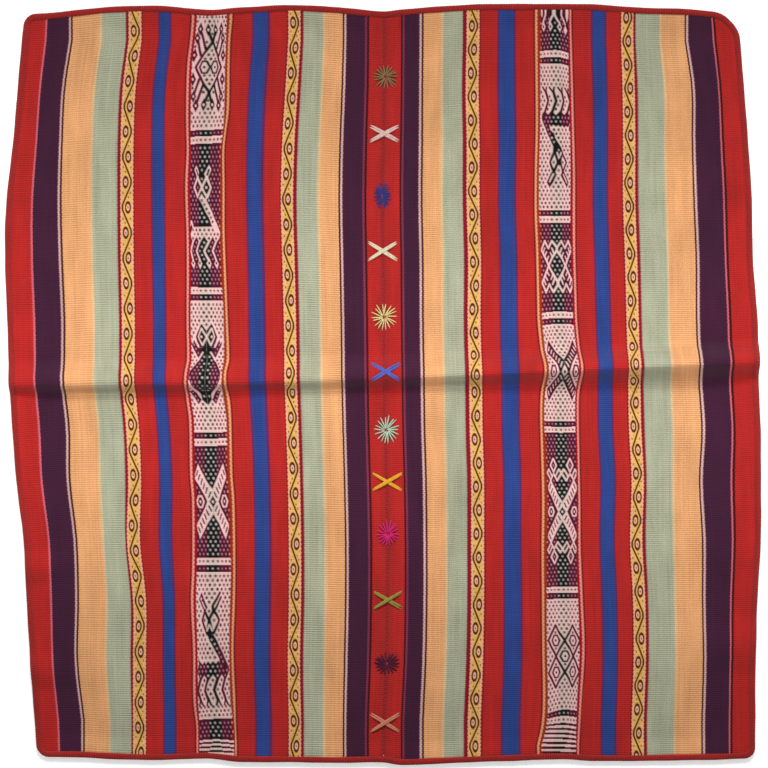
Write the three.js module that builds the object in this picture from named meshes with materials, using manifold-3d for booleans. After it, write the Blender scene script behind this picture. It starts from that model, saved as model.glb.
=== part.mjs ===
// An Andean mesa cloth, laid open on a flat surface: two loom panels butted at a centre seam,
// a woven tubular edging wrapped round their outer edge, and twelve embroidered marks on the seam.
// The ridge of the cloth's old middle fold runs across it. X runs across the stripes, Y along
// them, Z up. Units are millimetres. The underside of the flat cloth is at z = 0.
import * as THREE from "three";
import { mergeVertices } from "three/addons/utils/BufferGeometryUtils.js";
import Module from "manifold-3d";

const wasm = await Module();
wasm.setup();

// Driving dimensions
const CLOTH_THICKNESS = 1.4;
const PIECE_GAP = 0.3;
const EDGING_THICKNESS = 4.2;
const EDGING_OUTSIDE = 2.6;
const EDGING_LAP = 2.4;
const EDGE_LEVEL = 3;
const EDGE_SLOPE_END = 16;
const NORMAL_REACH = 0.3;
const YARN_THICKNESS = 1.0;
const STAR_RAYS = 20;
const STAR_STITCH = 1.1;
const STAR_HEART = 3.6;
const CROSS_STITCH = 2.4;
const STITCH_STEP = 0.15;
const CROSS_STEPS = 12;

// Cells of the panels' grids, beyond the narrow ones that follow the outer edge
const EDGE_STEPS = [0, EDGE_LEVEL, 9, 20];
const COLUMNS_TO_SEAM = 10;
const ROWS_TO_RIDGE = 15;
const RIDGE_STEPS_ABOVE = [1, 0.75, 0.52, 0.32, 0.15];
const RIDGE_STEPS_BELOW = [0.09, 0.21, 0.34, 0.47, 0.6, 0.73, 0.86, 1];

// Outer side edges of the edging and the line of the seam, at heights up the cloth
const SIDES = [
  { y: -283, left: -259, seam: 0.5, right: 279 },
  { y: -252, left: -261.3, seam: 0.5, right: 279.3 },
  { y: -207, left: -264.5, seam: 2.6, right: 279.3 },
  { y: -162, left: -267.3, seam: 3.4, right: 280.8 },
  { y: -117, left: -269.5, seam: 3.4, right: 283.3 },
  { y: -72, left: -275, seam: 2.5, right: 283.5 },
  { y: -34, left: -278, seam: 1.5, right: 283.3 },
  { y: 0, left: -280, seam: 1, right: 281.8 },
  { y: 48, left: -281.8, seam: 0.5, right: 281 },
  { y: 93, left: -283.4, seam: 0, right: 277.5 },
  { y: 138, left: -282.3, seam: -0.5, right: 276.5 },
  { y: 183, left: -277.3, seam: 0, right: 273.8 },
  { y: 221, left: -274, seam: 0.8, right: 270.8 },
  { y: 258, left: -270.8, seam: 0.8, right: 267.8 },
  { y: 283, left: -268, seam: 0.8, right: 264.8 },
];

// Outer end edges of the edging, at places across the cloth
const ENDS = [
  { x: -268, top: 277.5, bottom: -279 },
  { x: -250, top: 278.6, bottom: -279.4 },
  { x: -227, top: 281, bottom: -279.6 },
  { x: -203, top: 283.3, bottom: -280.9 },
  { x: -167, top: 284, bottom: -281.6 },
  { x: -131, top: 281, bottom: -280.6 },
  { x: -107, top: 282.6, bottom: -283 },
  { x: -71, top: 284.6, bottom: -283.2 },
  { x: -35, top: 283, bottom: -283.8 },
  { x: 0, top: 279.8, bottom: -283.4 },
  { x: 14, top: 281.2, bottom: -285.3 },
  { x: 37, top: 283.2, bottom: -284.6 },
  { x: 73, top: 285.2, bottom: -283 },
  { x: 97, top: 285.4, bottom: -282.3 },
  { x: 133, top: 285.4, bottom: -281 },
  { x: 157, top: 285.2, bottom: -282.3 },
  { x: 193, top: 282.6, bottom: -282.3 },
  { x: 229, top: 281.5, bottom: -281.7 },
  { x: 253, top: 279, bottom: -281.3 },
  { x: 280, top: 276, bottom: -280 },
];

// Corners of the outer edge: the side of the cloth that each is on and its radius
const CORNERS = [
  { side: -1, end: 1, radius: 8 },
  { side: 1, end: 1, radius: 18 },
  { side: 1, end: -1, radius: 8 },
  { side: -1, end: -1, radius: 9 },
];

// The fold ridge: where its crest runs, its height, how far it spreads above and below the
// crest, and how its lower flank falls: late, near the foot, over 1 and early, near the crest,
// under 1
const RIDGE = [
  { x: -284, crest: 2, height: 6, above: 17, below: 9, fall: 1.4 },
  { x: -240, crest: 2, height: 9.5, above: 18, below: 9, fall: 1.4 },
  { x: -135, crest: 3, height: 9, above: 18, below: 9, fall: 1.35 },
  { x: -40, crest: 5, height: 9, above: 18, below: 9, fall: 1.25 },
  { x: 10, crest: 6.5, height: 9.5, above: 18, below: 9, fall: 1.15 },
  { x: 60, crest: 8, height: 10.5, above: 18, below: 10, fall: 1 },
  { x: 134, crest: 11, height: 13, above: 18, below: 13, fall: 0.85 },
  { x: 200, crest: 14, height: 14.5, above: 18, below: 15, fall: 0.8 },
  { x: 245, crest: 16, height: 15, above: 18, below: 16, fall: 0.8 },
  { x: 284, crest: 18, height: 10, above: 18, below: 14, fall: 0.9 },
];

// Soft wrinkles near the outer edge: centre, half length along the turned axis, half width
const WRINKLES = [
  { x: -262, y: -137, length: 46, width: 15, turn: 4, height: 2.4 },
  { x: -260, y: -214, length: 44, width: 16, turn: -6, height: 2.6 },
  { x: -276, y: 118, length: 30, width: 20, turn: 0, height: 2 },
  { x: 166, y: -232, length: 16, width: 52, turn: -8, height: 2.2 },
  { x: 270, y: -196, length: 44, width: 24, turn: 8, height: 3.2 },
  { x: 268, y: 150, length: 40, width: 18, turn: -4, height: 2 },
  { x: -110, y: 268, length: 20, width: 26, turn: 0, height: 1.6 },
];

// Embroidered marks down the seam: name, colour, centre height, offset from the seam and half
// sizes. A cross on the fold ridge stands a little clear of it, as a straight stitch does.
const STARS = [
  { name: "star_green", colour: 0x4f5a2a, y: 230.6, aside: 1, wide: 10.5, high: 10 },
  { name: "star_blue", colour: 0x27418c, y: 141.4, aside: 0, wide: 7.2, high: 11 },
  { name: "star_yellow", colour: 0xe9d98a, y: 50.6, aside: 0.4, wide: 10.8, high: 11 },
  { name: "star_mint", colour: 0xb9dcc0, y: -34, aside: 1.2, wide: 10.5, high: 11.3 },
  { name: "star_pink", colour: 0xe21f7d, y: -112, aside: 0.5, wide: 9.8, high: 10.8 },
  { name: "star_plum", colour: 0x4a1336, y: -209, aside: 0.6, wide: 10.4, high: 9.6 },
];
const CROSSES = [
  { name: "cross_rose", colour: 0xf0b6a6, y: 188, aside: 0.8, wide: 10.6, high: 5.8, clear: 0 },
  { name: "cross_cream", colour: 0xf1e3c0, y: 99.8, aside: -0.2, wide: 10.6, high: 6.6, clear: 0 },
  { name: "cross_violet", colour: 0x5562c4, y: 9.4, aside: 1, wide: 11, high: 6.4, clear: 0.3 },
  { name: "cross_gold", colour: 0xf2b32f, y: -73, aside: 0.8, wide: 11, high: 6.4, clear: 0 },
  { name: "cross_olive", colour: 0x9c9440, y: -161.6, aside: 0, wide: 10.6, high: 6.2, clear: 0 },
  { name: "cross_salmon", colour: 0xf08d62, y: -253.5, aside: 1, wide: 11, high: 6.6, clear: 0 },
];

// Value of one column of a table at a place along another, on a smooth curve through its rows
function readTable(table, along, column, at) {
  const last = table.length - 1;
  if (at <= table[0][along]) return table[0][column];
  if (at >= table[last][along]) return table[last][column];
  let k = 0;
  while (table[k + 1][along] < at) k += 1;
  const slope = (i) => {
    const a = table[Math.max(i - 1, 0)];
    const b = table[Math.min(i + 1, last)];
    return (b[column] - a[column]) / (b[along] - a[along]);
  };
  const span = table[k + 1][along] - table[k][along];
  const t = (at - table[k][along]) / span;
  const start = (1 + 2 * t) * (1 - t) ** 2 * table[k][column];
  const end = t * t * (3 - 2 * t) * table[k + 1][column];
  const bend = span * (t * (1 - t) ** 2 * slope(k) + t * t * (t - 1) * slope(k + 1));
  return start + end + bend;
}

// Panel edges: the outer edge of the edging moved in by the part of it that lies outside the cloth
const leftEdge = (y) => readTable(SIDES, "y", "left", y) + EDGING_OUTSIDE;
const rightEdge = (y) => readTable(SIDES, "y", "right", y) - EDGING_OUTSIDE;
const seamLine = (y) => readTable(SIDES, "y", "seam", y);
const topEdge = (x) => readTable(ENDS, "x", "top", x) - EDGING_OUTSIDE;
const bottomEdge = (x) => readTable(ENDS, "x", "bottom", x) + EDGING_OUTSIDE;
const ridgeValue = (column, x) => readTable(RIDGE, "x", column, x);

function smoothStep(from, to, value) {
  const t = Math.min(1, Math.max(0, (value - from) / (to - from)));
  return t * t * (3 - 2 * t);
}

// Height of the fold ridge over the flat cloth
function ridgeHeight(x, y) {
  const offset = y - ridgeValue("crest", x);
  const height = ridgeValue("height", x);
  if (offset >= 0) {
    const t = Math.min(1, offset / ridgeValue("above", x));
    return (height * (1 + Math.cos(Math.PI * t))) / 2;
  }
  const t = Math.min(1, -offset / ridgeValue("below", x)) ** ridgeValue("fall", x);
  return (height * (1 + Math.cos(Math.PI * t))) / 2;
}

// Height of the soft wrinkles, each a low mound that ends level
function wrinkleHeight(x, y) {
  let height = 0;
  for (const wrinkle of WRINKLES) {
    const turn = THREE.MathUtils.degToRad(wrinkle.turn);
    const dx = x - wrinkle.x;
    const dy = y - wrinkle.y;
    const along = (dx * Math.cos(turn) + dy * Math.sin(turn)) / wrinkle.length;
    const across = (dy * Math.cos(turn) - dx * Math.sin(turn)) / wrinkle.width;
    const near = 1 - along * along - across * across;
    if (near > 0) height += wrinkle.height * near * near;
  }
  return height;
}

// Height of the middle of the cloth's thickness. It rises at the edge into the edging's groove.
function clothHeight(x, y) {
  const fromSide = Math.min(x - leftEdge(y), rightEdge(y) - x);
  const fromEnd = Math.min(topEdge(x) - y, y - bottomEdge(x));
  const inward = Math.min(fromSide, fromEnd);
  const rise = (EDGING_THICKNESS - CLOTH_THICKNESS) / 2;
  const edge = rise * (1 - smoothStep(EDGE_LEVEL, EDGE_SLOPE_END, inward));
  return CLOTH_THICKNESS / 2 + edge + ridgeHeight(x, y) + wrinkleHeight(x, y);
}

function clothNormal(x, y) {
  const step = NORMAL_REACH;
  const slopeX = (clothHeight(x + step, y) - clothHeight(x - step, y)) / (2 * step);
  const slopeY = (clothHeight(x, y + step) - clothHeight(x, y - step)) / (2 * step);
  return new THREE.Vector3(-slopeX, -slopeY, 1).normalize();
}

// Pulls the points near a corner in to its rounded outline and leaves all others
function roundCorner(x, y) {
  for (const corner of CORNERS) {
    const radius = corner.radius - EDGING_OUTSIDE;
    const sideEdge = corner.side < 0 ? leftEdge(y) : rightEdge(y);
    const endEdge = corner.end > 0 ? topEdge(x) : bottomEdge(x);
    const a = 1 - ((sideEdge - x) * corner.side) / radius;
    const b = 1 - ((endEdge - y) * corner.end) / radius;
    if (a > 0 && b > 0) {
      const roundA = a * Math.sqrt(1 - (b * b) / 2);
      const roundB = b * Math.sqrt(1 - (a * a) / 2);
      const roundX = sideEdge - corner.side * radius * (1 - roundA);
      return [roundX, endEdge - corner.end * radius * (1 - roundB)];
    }
  }
  return [x, y];
}

// Rows of the grids from the top edge down: each is a function that gives y at a place across
function makeRows() {
  const rows = EDGE_STEPS.map((step) => (x) => topEdge(x) - step);
  const inner = EDGE_STEPS[EDGE_STEPS.length - 1];
  const ridgeTop = (x) => ridgeValue("crest", x) + ridgeValue("above", x);
  const ridgeFoot = (x) => ridgeValue("crest", x) - ridgeValue("below", x);
  for (let i = 1; i < ROWS_TO_RIDGE; i++) {
    const t = i / ROWS_TO_RIDGE;
    rows.push((x) => THREE.MathUtils.lerp(topEdge(x) - inner, ridgeTop(x), t));
  }
  for (const t of RIDGE_STEPS_ABOVE) {
    rows.push((x) => ridgeValue("crest", x) + t * ridgeValue("above", x));
  }
  rows.push((x) => ridgeValue("crest", x));
  for (const t of RIDGE_STEPS_BELOW) {
    rows.push((x) => ridgeValue("crest", x) - t * ridgeValue("below", x));
  }
  for (let i = 1; i < ROWS_TO_RIDGE; i++) {
    const t = i / ROWS_TO_RIDGE;
    rows.push((x) => THREE.MathUtils.lerp(ridgeFoot(x), bottomEdge(x) + inner, t));
  }
  for (const step of [...EDGE_STEPS].reverse()) rows.push((x) => bottomEdge(x) + step);
  return rows;
}

// Columns of one panel's grid from its outer edge to the seam: each gives x at a height
function makeColumns(side) {
  const outer = side < 0 ? leftEdge : rightEdge;
  const inner = (y) => seamLine(y) + (side * PIECE_GAP) / 2;
  const columns = EDGE_STEPS.map((step) => (y) => outer(y) - side * step);
  const last = columns[columns.length - 1];
  for (let i = 1; i <= COLUMNS_TO_SEAM; i++) {
    columns.push((y) => THREE.MathUtils.lerp(last(y), inner(y), i / COLUMNS_TO_SEAM));
  }
  return columns;
}

// Where a row and a column cross: the point on the middle of the cloth and the normal there
function crossing(row, column) {
  let y = row(column(0));
  for (let i = 0; i < 4; i++) y = row(column(y));
  const x = column(y);
  const [roundX, roundY] = roundCorner(x, y);
  return {
    point: new THREE.Vector3(roundX, roundY, clothHeight(x, y)),
    normal: clothNormal(x, y),
  };
}

const ROWS = makeRows();
const PANEL_GRIDS = new Map();
for (const side of [-1, 1]) {
  const columns = makeColumns(side);
  const grid = ROWS.map((row) => columns.map((column) => crossing(row, column)));
  PANEL_GRIDS.set(side, grid);
}

// A geometry from corner points and faces of three or four corners
function geometryOf(points, faces) {
  const positions = points.flatMap((point) => [point.x, point.y, point.z]);
  const index = faces.flatMap((face) =>
    face.length === 3 ? face : [face[0], face[1], face[2], face[0], face[2], face[3]],
  );
  const geometry = new THREE.BufferGeometry();
  geometry.setAttribute("position", new THREE.Float32BufferAttribute(positions, 3));
  geometry.setIndex(index);
  return geometry;
}

// Turns a closed geometry's faces to point out if they point in
function facingOut(geometry) {
  const position = geometry.attributes.position;
  const index = geometry.index.array;
  const [a, b, c] = [new THREE.Vector3(), new THREE.Vector3(), new THREE.Vector3()];
  let volume = 0;
  for (let i = 0; i < index.length; i += 3) {
    a.fromBufferAttribute(position, index[i]);
    b.fromBufferAttribute(position, index[i + 1]);
    c.fromBufferAttribute(position, index[i + 2]);
    volume += a.dot(b.cross(c));
  }
  if (volume < 0) geometry.setIndex([...index].reverse());
  geometry.computeVertexNormals();
  return geometry;
}

// A panel: its grid offset by half the thickness to either side, closed round the four edges
function makePanel(side) {
  const grid = PANEL_GRIDS.get(side);
  const height = grid.length;
  const width = grid[0].length;
  const points = [];
  for (const sign of [1, -1]) {
    for (const { point, normal } of grid.flat()) {
      points.push(point.clone().addScaledVector(normal, (sign * CLOTH_THICKNESS) / 2));
    }
  }
  const top = (row, column) => row * width + column;
  const under = (row, column) => height * width + top(row, column);
  const faces = [];
  for (let r = 0; r < height - 1; r++) {
    for (let c = 0; c < width - 1; c++) {
      faces.push([top(r, c), top(r + 1, c), top(r + 1, c + 1), top(r, c + 1)]);
      faces.push([under(r, c), under(r, c + 1), under(r + 1, c + 1), under(r + 1, c)]);
    }
  }
  const rim = [];
  for (let c = 0; c < width - 1; c++) rim.push([0, c]);
  for (let r = 0; r < height - 1; r++) rim.push([r, width - 1]);
  for (let c = width - 1; c > 0; c--) rim.push([height - 1, c]);
  for (let r = height - 1; r > 0; r--) rim.push([r, 0]);
  rim.forEach((from, i) => {
    const to = rim[(i + 1) % rim.length];
    faces.push([top(...from), top(...to), under(...to), under(...from)]);
  });
  return facingOut(geometryOf(points, faces));
}

// The panels' shared outer edge as one ring of stations, clockwise from the top left corner
function edgeStations() {
  const left = PANEL_GRIDS.get(-1);
  const right = PANEL_GRIDS.get(1);
  const lastRow = ROWS.length - 1;
  const lastColumn = left[0].length - 1;
  const midSeam = (row) => ({
    point: left[row][lastColumn].point.clone().lerp(right[row][lastColumn].point, 0.5),
    normal: left[row][lastColumn].normal,
  });
  const ring = [...left[0].slice(0, lastColumn), midSeam(0)];
  ring.push(...right[0].slice(0, lastColumn).reverse());
  for (let r = 1; r < lastRow; r++) ring.push(right[r][0]);
  ring.push(...right[lastRow].slice(0, lastColumn), midSeam(lastRow));
  ring.push(...left[lastRow].slice(0, lastColumn).reverse());
  for (let r = lastRow - 1; r > 0; r--) ring.push(left[r][0]);
  return ring;
}

// The edging's section, wrapped over the cloth's edge: out is measured outward from that edge,
// up from the middle of the cloth, with a small gap all round the cloth in the groove
function edgingSection() {
  const half = EDGING_THICKNESS / 2;
  const groove = CLOTH_THICKNESS / 2 + PIECE_GAP;
  return [
    { out: -EDGING_LAP, up: groove },
    { out: -EDGING_LAP + 0.4, up: half - 0.3 },
    { out: -EDGING_LAP + 2, up: half },
    { out: EDGING_OUTSIDE - 1.2, up: half - 0.3 },
    { out: EDGING_OUTSIDE, up: 0.6 },
    { out: EDGING_OUTSIDE, up: -0.8 },
    { out: EDGING_OUTSIDE - 1.1, up: -half },
    { out: -EDGING_LAP + 0.4, up: -half },
    { out: -EDGING_LAP, up: -groove },
    { out: PIECE_GAP, up: -groove },
    { out: PIECE_GAP, up: groove },
  ];
}

function makeEdging() {
  const ring = edgeStations();
  const section = edgingSection();
  const points = [];
  ring.forEach((station, i) => {
    const before = ring[(i + ring.length - 1) % ring.length].point;
    const after = ring[(i + 1) % ring.length].point;
    const outward = new THREE.Vector3(before.y - after.y, after.x - before.x, 0);
    outward.addScaledVector(station.normal, -outward.dot(station.normal)).normalize();
    for (const corner of section) {
      const point = station.point.clone().addScaledVector(outward, corner.out);
      points.push(point.addScaledVector(station.normal, corner.up));
    }
  });
  const faces = [];
  const size = section.length;
  ring.forEach((station, i) => {
    const next = (i + 1) % ring.length;
    for (let j = 0; j < size; j++) {
      const k = (j + 1) % size;
      faces.push([i * size + j, i * size + k, next * size + k, next * size + j]);
    }
  });
  return facingOut(geometryOf(points, faces));
}

// A point above the cloth's upper face, at a lift measured square to it
function overCloth(x, y, lift) {
  const normal = clothNormal(x, y);
  const point = new THREE.Vector3(x, y, clothHeight(x, y));
  return point.addScaledVector(normal, CLOTH_THICKNESS / 2 + lift);
}

// A star of straight stitches that meet in a worn heart, uneven in length as hand stitches are
function makeStar(star) {
  const outline = new THREE.Shape();
  const turn = (2 * Math.PI) / STAR_RAYS;
  for (let i = 0; i < STAR_RAYS; i++) {
    const uneven = 1 - 0.09 * (1 + Math.sin(i * 2.4 + star.y));
    const along = new THREE.Vector2(Math.cos(i * turn), Math.sin(i * turn));
    const tip = new THREE.Vector2(along.x * star.wide, along.y * star.high);
    tip.multiplyScalar(uneven);
    const half = new THREE.Vector2(-along.y, along.x).multiplyScalar(STAR_STITCH / 2);
    const valley = (i + 0.5) * turn;
    const first = tip.clone().sub(half);
    if (i === 0) outline.moveTo(first.x, first.y);
    else outline.lineTo(first.x, first.y);
    outline.lineTo(tip.x + half.x, tip.y + half.y);
    outline.lineTo(STAR_HEART * Math.cos(valley), STAR_HEART * Math.sin(valley));
  }
  outline.closePath();
  const geometry = new THREE.ExtrudeGeometry(outline, { depth: YARN_THICKNESS, bevelEnabled: false });
  const x = seamLine(star.y) + star.aside;
  geometry.translate(x, star.y, overCloth(x, star.y, PIECE_GAP).z);
  return geometry;
}

// One straight stitch from end to end of a cross, bent over the cloth below it
function makeStitch(from, to, bottom, top) {
  const side = new THREE.Vector2(from.y - to.y, to.x - from.x).normalize();
  side.multiplyScalar(CROSS_STITCH / 2);
  const points = [];
  for (let i = 0; i <= CROSS_STEPS; i++) {
    const middle = from.clone().lerp(to, i / CROSS_STEPS);
    for (const [sign, lift] of [[-1, bottom], [1, bottom], [1, top], [-1, top]]) {
      points.push(overCloth(middle.x + sign * side.x, middle.y + sign * side.y, lift));
    }
  }
  const faces = [[0, 1, 2, 3], [3, 2, 1, 0].map((corner) => 4 * CROSS_STEPS + corner)];
  for (let i = 0; i < CROSS_STEPS; i++) {
    for (let j = 0; j < 4; j++) {
      const k = (j + 1) % 4;
      faces.push([4 * i + k, 4 * i + j, 4 * i + 4 + j, 4 * i + 4 + k]);
    }
  }
  return facingOut(geometryOf(points, faces));
}

function solidOf(geometry) {
  return new wasm.Manifold(
    new wasm.Mesh({
      numProp: 3,
      vertProperties: geometry.attributes.position.array,
      triVerts: Uint32Array.from(geometry.index.array),
    }),
  );
}

function geometryOfSolid(solid) {
  const mesh = solid.getMesh();
  const geometry = new THREE.BufferGeometry();
  geometry.setAttribute("position", new THREE.BufferAttribute(mesh.vertProperties, 3));
  geometry.setIndex(new THREE.BufferAttribute(mesh.triVerts, 1));
  const merged = mergeVertices(geometry, 1e-4);
  merged.computeVertexNormals();
  return merged;
}

// A cross of two stitches, the second one laid over the first
function makeCross(cross) {
  const x = seamLine(cross.y) + cross.aside;
  const corner = (signX, signY) =>
    new THREE.Vector2(x + signX * cross.wide, cross.y + signY * cross.high);
  const bottom = PIECE_GAP + cross.clear;
  const top = bottom + YARN_THICKNESS;
  const lower = makeStitch(corner(-1, 1), corner(1, -1), bottom + STITCH_STEP, top);
  const upper = makeStitch(corner(-1, -1), corner(1, 1), bottom, top + STITCH_STEP);
  return geometryOfSolid(solidOf(lower).add(solidOf(upper)));
}

function addMesh(group, name, geometry, colour, roughness) {
  const material = new THREE.MeshStandardMaterial({ color: colour, roughness, metalness: 0 });
  const mesh = new THREE.Mesh(geometry, material);
  mesh.name = name;
  group.add(mesh);
}

const group = new THREE.Group();
addMesh(group, "panel_left", makePanel(-1), 0xb5342b, 0.92);
addMesh(group, "panel_right", makePanel(1), 0xb5342b, 0.92);
addMesh(group, "edging", makeEdging(), 0xa82820, 0.9);
for (const star of STARS) addMesh(group, star.name, makeStar(star), star.colour, 0.85);
for (const cross of CROSSES) addMesh(group, cross.name, makeCross(cross), cross.colour, 0.85);

export default group;
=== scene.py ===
# %% [markdown]
# Andean mesa cloth, lying open on a table and seen from straight above.
# A mesa cloth is woven on a backstrap loom in two warp-faced panels that are joined at a centre
# seam, wrapped round the edge with a woven tubular edging, and marked down the seam with
# embroidered stars and crosses. The CAD frame gives the sheets, the edging and the marks their
# place. This lesson weaves their surfaces over it, in the order in which a weaver works.

# %% Load the frame
import math

import bpy
import numpy as np
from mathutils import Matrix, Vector


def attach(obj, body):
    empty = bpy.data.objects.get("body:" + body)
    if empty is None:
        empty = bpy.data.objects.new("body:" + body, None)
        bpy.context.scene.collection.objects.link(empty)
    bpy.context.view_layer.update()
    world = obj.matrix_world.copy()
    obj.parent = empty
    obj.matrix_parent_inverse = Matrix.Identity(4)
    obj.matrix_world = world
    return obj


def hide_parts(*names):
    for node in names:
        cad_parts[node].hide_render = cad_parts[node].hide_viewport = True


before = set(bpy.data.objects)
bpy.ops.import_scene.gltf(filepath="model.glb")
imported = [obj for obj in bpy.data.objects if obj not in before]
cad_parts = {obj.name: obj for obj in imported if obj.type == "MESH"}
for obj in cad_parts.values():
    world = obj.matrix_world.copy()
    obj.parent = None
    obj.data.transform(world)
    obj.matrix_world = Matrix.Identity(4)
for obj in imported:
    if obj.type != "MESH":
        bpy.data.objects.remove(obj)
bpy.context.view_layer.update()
print("CAD nodes:", sorted(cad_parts))

# %% [markdown]
# All lengths below are in millimetres, as a weaver would measure them, and only the last step of
# each mesh turns them into Blender's metres. Colours are written as the lit cloth looks on a
# screen. One function changes them to Blender's linear light, and another takes out what the
# lamps and the sheen of the fibres add, so that a colour comes out of the render as written.

# %% Units and colours
MM = 0.001


def linear(red, green, blue):
    """Screen colour from 0 to 255, as Blender's linear colour."""
    shares = np.array([red, green, blue], float) / 255
    low = shares / 12.92
    high = ((shares + 0.055) / 1.055) ** 2.4
    return np.where(shares <= 0.04045, low, high)


LIGHT_ON_CLOTH = 1.206
SHEEN_LIGHT = 0.01
DARKEST_WOOL = 0.001


def dye(red, green, blue):
    """The colour that wool must have to look like this screen colour under the lamps below."""
    return np.maximum((linear(red, green, blue) - SHEEN_LIGHT) / LIGHT_ON_CLOTH, DARKEST_WOOL)


DYES = {
    "red": dye(194, 46, 43),
    "pink": dye(225, 108, 125),
    "aubergine": dye(74, 37, 60),
    "cream": dye(240, 190, 185),
    "straw": dye(238, 198, 148),
    "dark": dye(74, 14, 22),
    "peach": dye(245, 178, 122),
    "sage": dye(184, 186, 158),
    "crimson": dye(150, 28, 46),
    "gold": dye(228, 172, 106),
    "blue": dye(52, 76, 148),
    "violet": dye(102, 46, 98),
    "magenta": dye(140, 55, 85),
}
print("dyes:", len(DYES))

# %% [markdown]
# A handwoven cloth is never square. Its outline wanders by some millimetres, so it is kept as a
# few measured places with a smooth curve through them: the edging's outer sides and the seam at
# heights up the cloth, and its outer ends at places across it. They are the CAD part's numbers.

# %% The outline of the cloth
SIDE_HEIGHTS = [-283, -252, -207, -162, -117, -72, -34, 0, 48, 93, 138, 183, 221, 258, 283]
LEFT_SIDE = [
    -259, -261.3, -264.5, -267.3, -269.5, -275, -278, -280,
    -281.8, -283.4, -282.3, -277.3, -274, -270.8, -268,
]
SEAM = [0.5, 0.5, 2.6, 3.4, 3.4, 2.5, 1.5, 1, 0.5, 0, -0.5, 0, 0.8, 0.8, 0.8]
RIGHT_SIDE = [
    279, 279.3, 279.3, 280.8, 283.3, 283.5, 283.3, 281.8,
    281, 277.5, 276.5, 273.8, 270.8, 267.8, 264.8,
]
END_PLACES = [
    -268, -250, -227, -203, -167, -131, -107, -71, -35, 0,
    14, 37, 73, 97, 133, 157, 193, 229, 253, 280,
]
TOP_END = [
    277.5, 278.6, 281, 283.3, 284, 281, 282.6, 284.6, 283, 279.8,
    281.2, 283.2, 285.2, 285.4, 285.4, 285.2, 282.6, 281.5, 279, 276,
]
BOTTOM_END = [
    -279, -279.4, -279.6, -280.9, -281.6, -280.6, -283, -283.2, -283.8, -283.4,
    -285.3, -284.6, -283, -282.3, -281, -282.3, -282.3, -281.7, -281.3, -280,
]
CLOTH_THICKNESS = 1.4
EDGING_THICKNESS = 4.2
EDGING_OUTSIDE = 2.6
EDGE_LEVEL = 3
EDGE_SLOPE_END = 16
PIECE_GAP = 0.3


def curve_through(places, values, at):
    """Values on a smooth curve through measured places, held level beyond its two ends."""
    places = np.asarray(places, float)
    values = np.asarray(values, float)
    before = np.maximum(np.arange(len(places)) - 1, 0)
    after = np.minimum(np.arange(len(places)) + 1, len(places) - 1)
    slopes = (values[after] - values[before]) / (places[after] - places[before])
    at = np.clip(at, places[0], places[-1])
    k = np.clip(np.searchsorted(places, at, side="right") - 1, 0, len(places) - 2)
    span = places[k + 1] - places[k]
    t = (at - places[k]) / span
    start = (1 + 2 * t) * (1 - t) ** 2 * values[k]
    end = t * t * (3 - 2 * t) * values[k + 1]
    bend = t * (1 - t) ** 2 * slopes[k] + t * t * (t - 1) * slopes[k + 1]
    return start + end + span * bend


def left_edge(y):
    return curve_through(SIDE_HEIGHTS, LEFT_SIDE, y) + EDGING_OUTSIDE


def right_edge(y):
    return curve_through(SIDE_HEIGHTS, RIGHT_SIDE, y) - EDGING_OUTSIDE


def seam_line(y):
    return curve_through(SIDE_HEIGHTS, SEAM, y)


def top_edge(x):
    return curve_through(END_PLACES, TOP_END, x) - EDGING_OUTSIDE


def bottom_edge(x):
    return curve_through(END_PLACES, BOTTOM_END, x) + EDGING_OUTSIDE


print("cloth width at the middle:", round(float(right_edge(0) - left_edge(0)), 1), "mm")

# %% [markdown]
# The cloth was kept folded in half, and its middle fold still stands as a ridge across it. The
# ridge is a rounded rise on its upper side and a quicker fall on the lower one, higher towards
# the right. A few low mounds near the edges are the soft wrinkles. A physics simulation could
# make such folds too, but it would not put them where this cloth has them.

# %% The lie of the cloth
RIDGE_PLACES = [-284, -240, -135, -40, 10, 60, 134, 200, 245, 284]
RIDGE_CREST = [2, 2, 3, 5, 6.5, 8, 11, 14, 16, 18]
RIDGE_HEIGHT = [6, 9.5, 9, 9, 9.5, 10.5, 13, 14.5, 15, 10]
RIDGE_ABOVE = [17, 18, 18, 18, 18, 18, 18, 18, 18, 18]
RIDGE_BELOW = [9, 9, 9, 9, 9, 10, 13, 15, 16, 14]
RIDGE_FALL = [1.4, 1.4, 1.35, 1.25, 1.15, 1, 0.85, 0.8, 0.8, 0.9]
WRINKLES = [
    (-262, -137, 46, 15, 4, 2.4),
    (-260, -214, 44, 16, -6, 2.6),
    (-276, 118, 30, 20, 0, 2),
    (166, -232, 16, 52, -8, 2.2),
    (270, -196, 44, 24, 8, 3.2),
    (268, 150, 40, 18, -4, 2),
    (-110, 268, 20, 26, 0, 1.6),
]


def smooth_step(start, end, value):
    t = np.clip((value - start) / (end - start), 0, 1)
    return t * t * (3 - 2 * t)


def ridge_height(x, y):
    offset = y - curve_through(RIDGE_PLACES, RIDGE_CREST, x)
    above = np.clip(offset / curve_through(RIDGE_PLACES, RIDGE_ABOVE, x), 0, 1)
    below = np.clip(-offset / curve_through(RIDGE_PLACES, RIDGE_BELOW, x), 0, 1)
    fall = below ** curve_through(RIDGE_PLACES, RIDGE_FALL, x)
    share = np.where(offset >= 0, above, fall)
    return curve_through(RIDGE_PLACES, RIDGE_HEIGHT, x) * (1 + np.cos(np.pi * share)) / 2


def wrinkle_height(x, y):
    height = np.zeros(np.broadcast(x, y).shape)
    for centre_x, centre_y, length, width, turn, rise in WRINKLES:
        dx = x - centre_x
        dy = y - centre_y
        angle = math.radians(turn)
        along = (dx * math.cos(angle) + dy * math.sin(angle)) / length
        across = (dy * math.cos(angle) - dx * math.sin(angle)) / width
        near = np.clip(1 - along**2 - across**2, 0, None)
        height += rise * near**2
    return height


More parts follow.
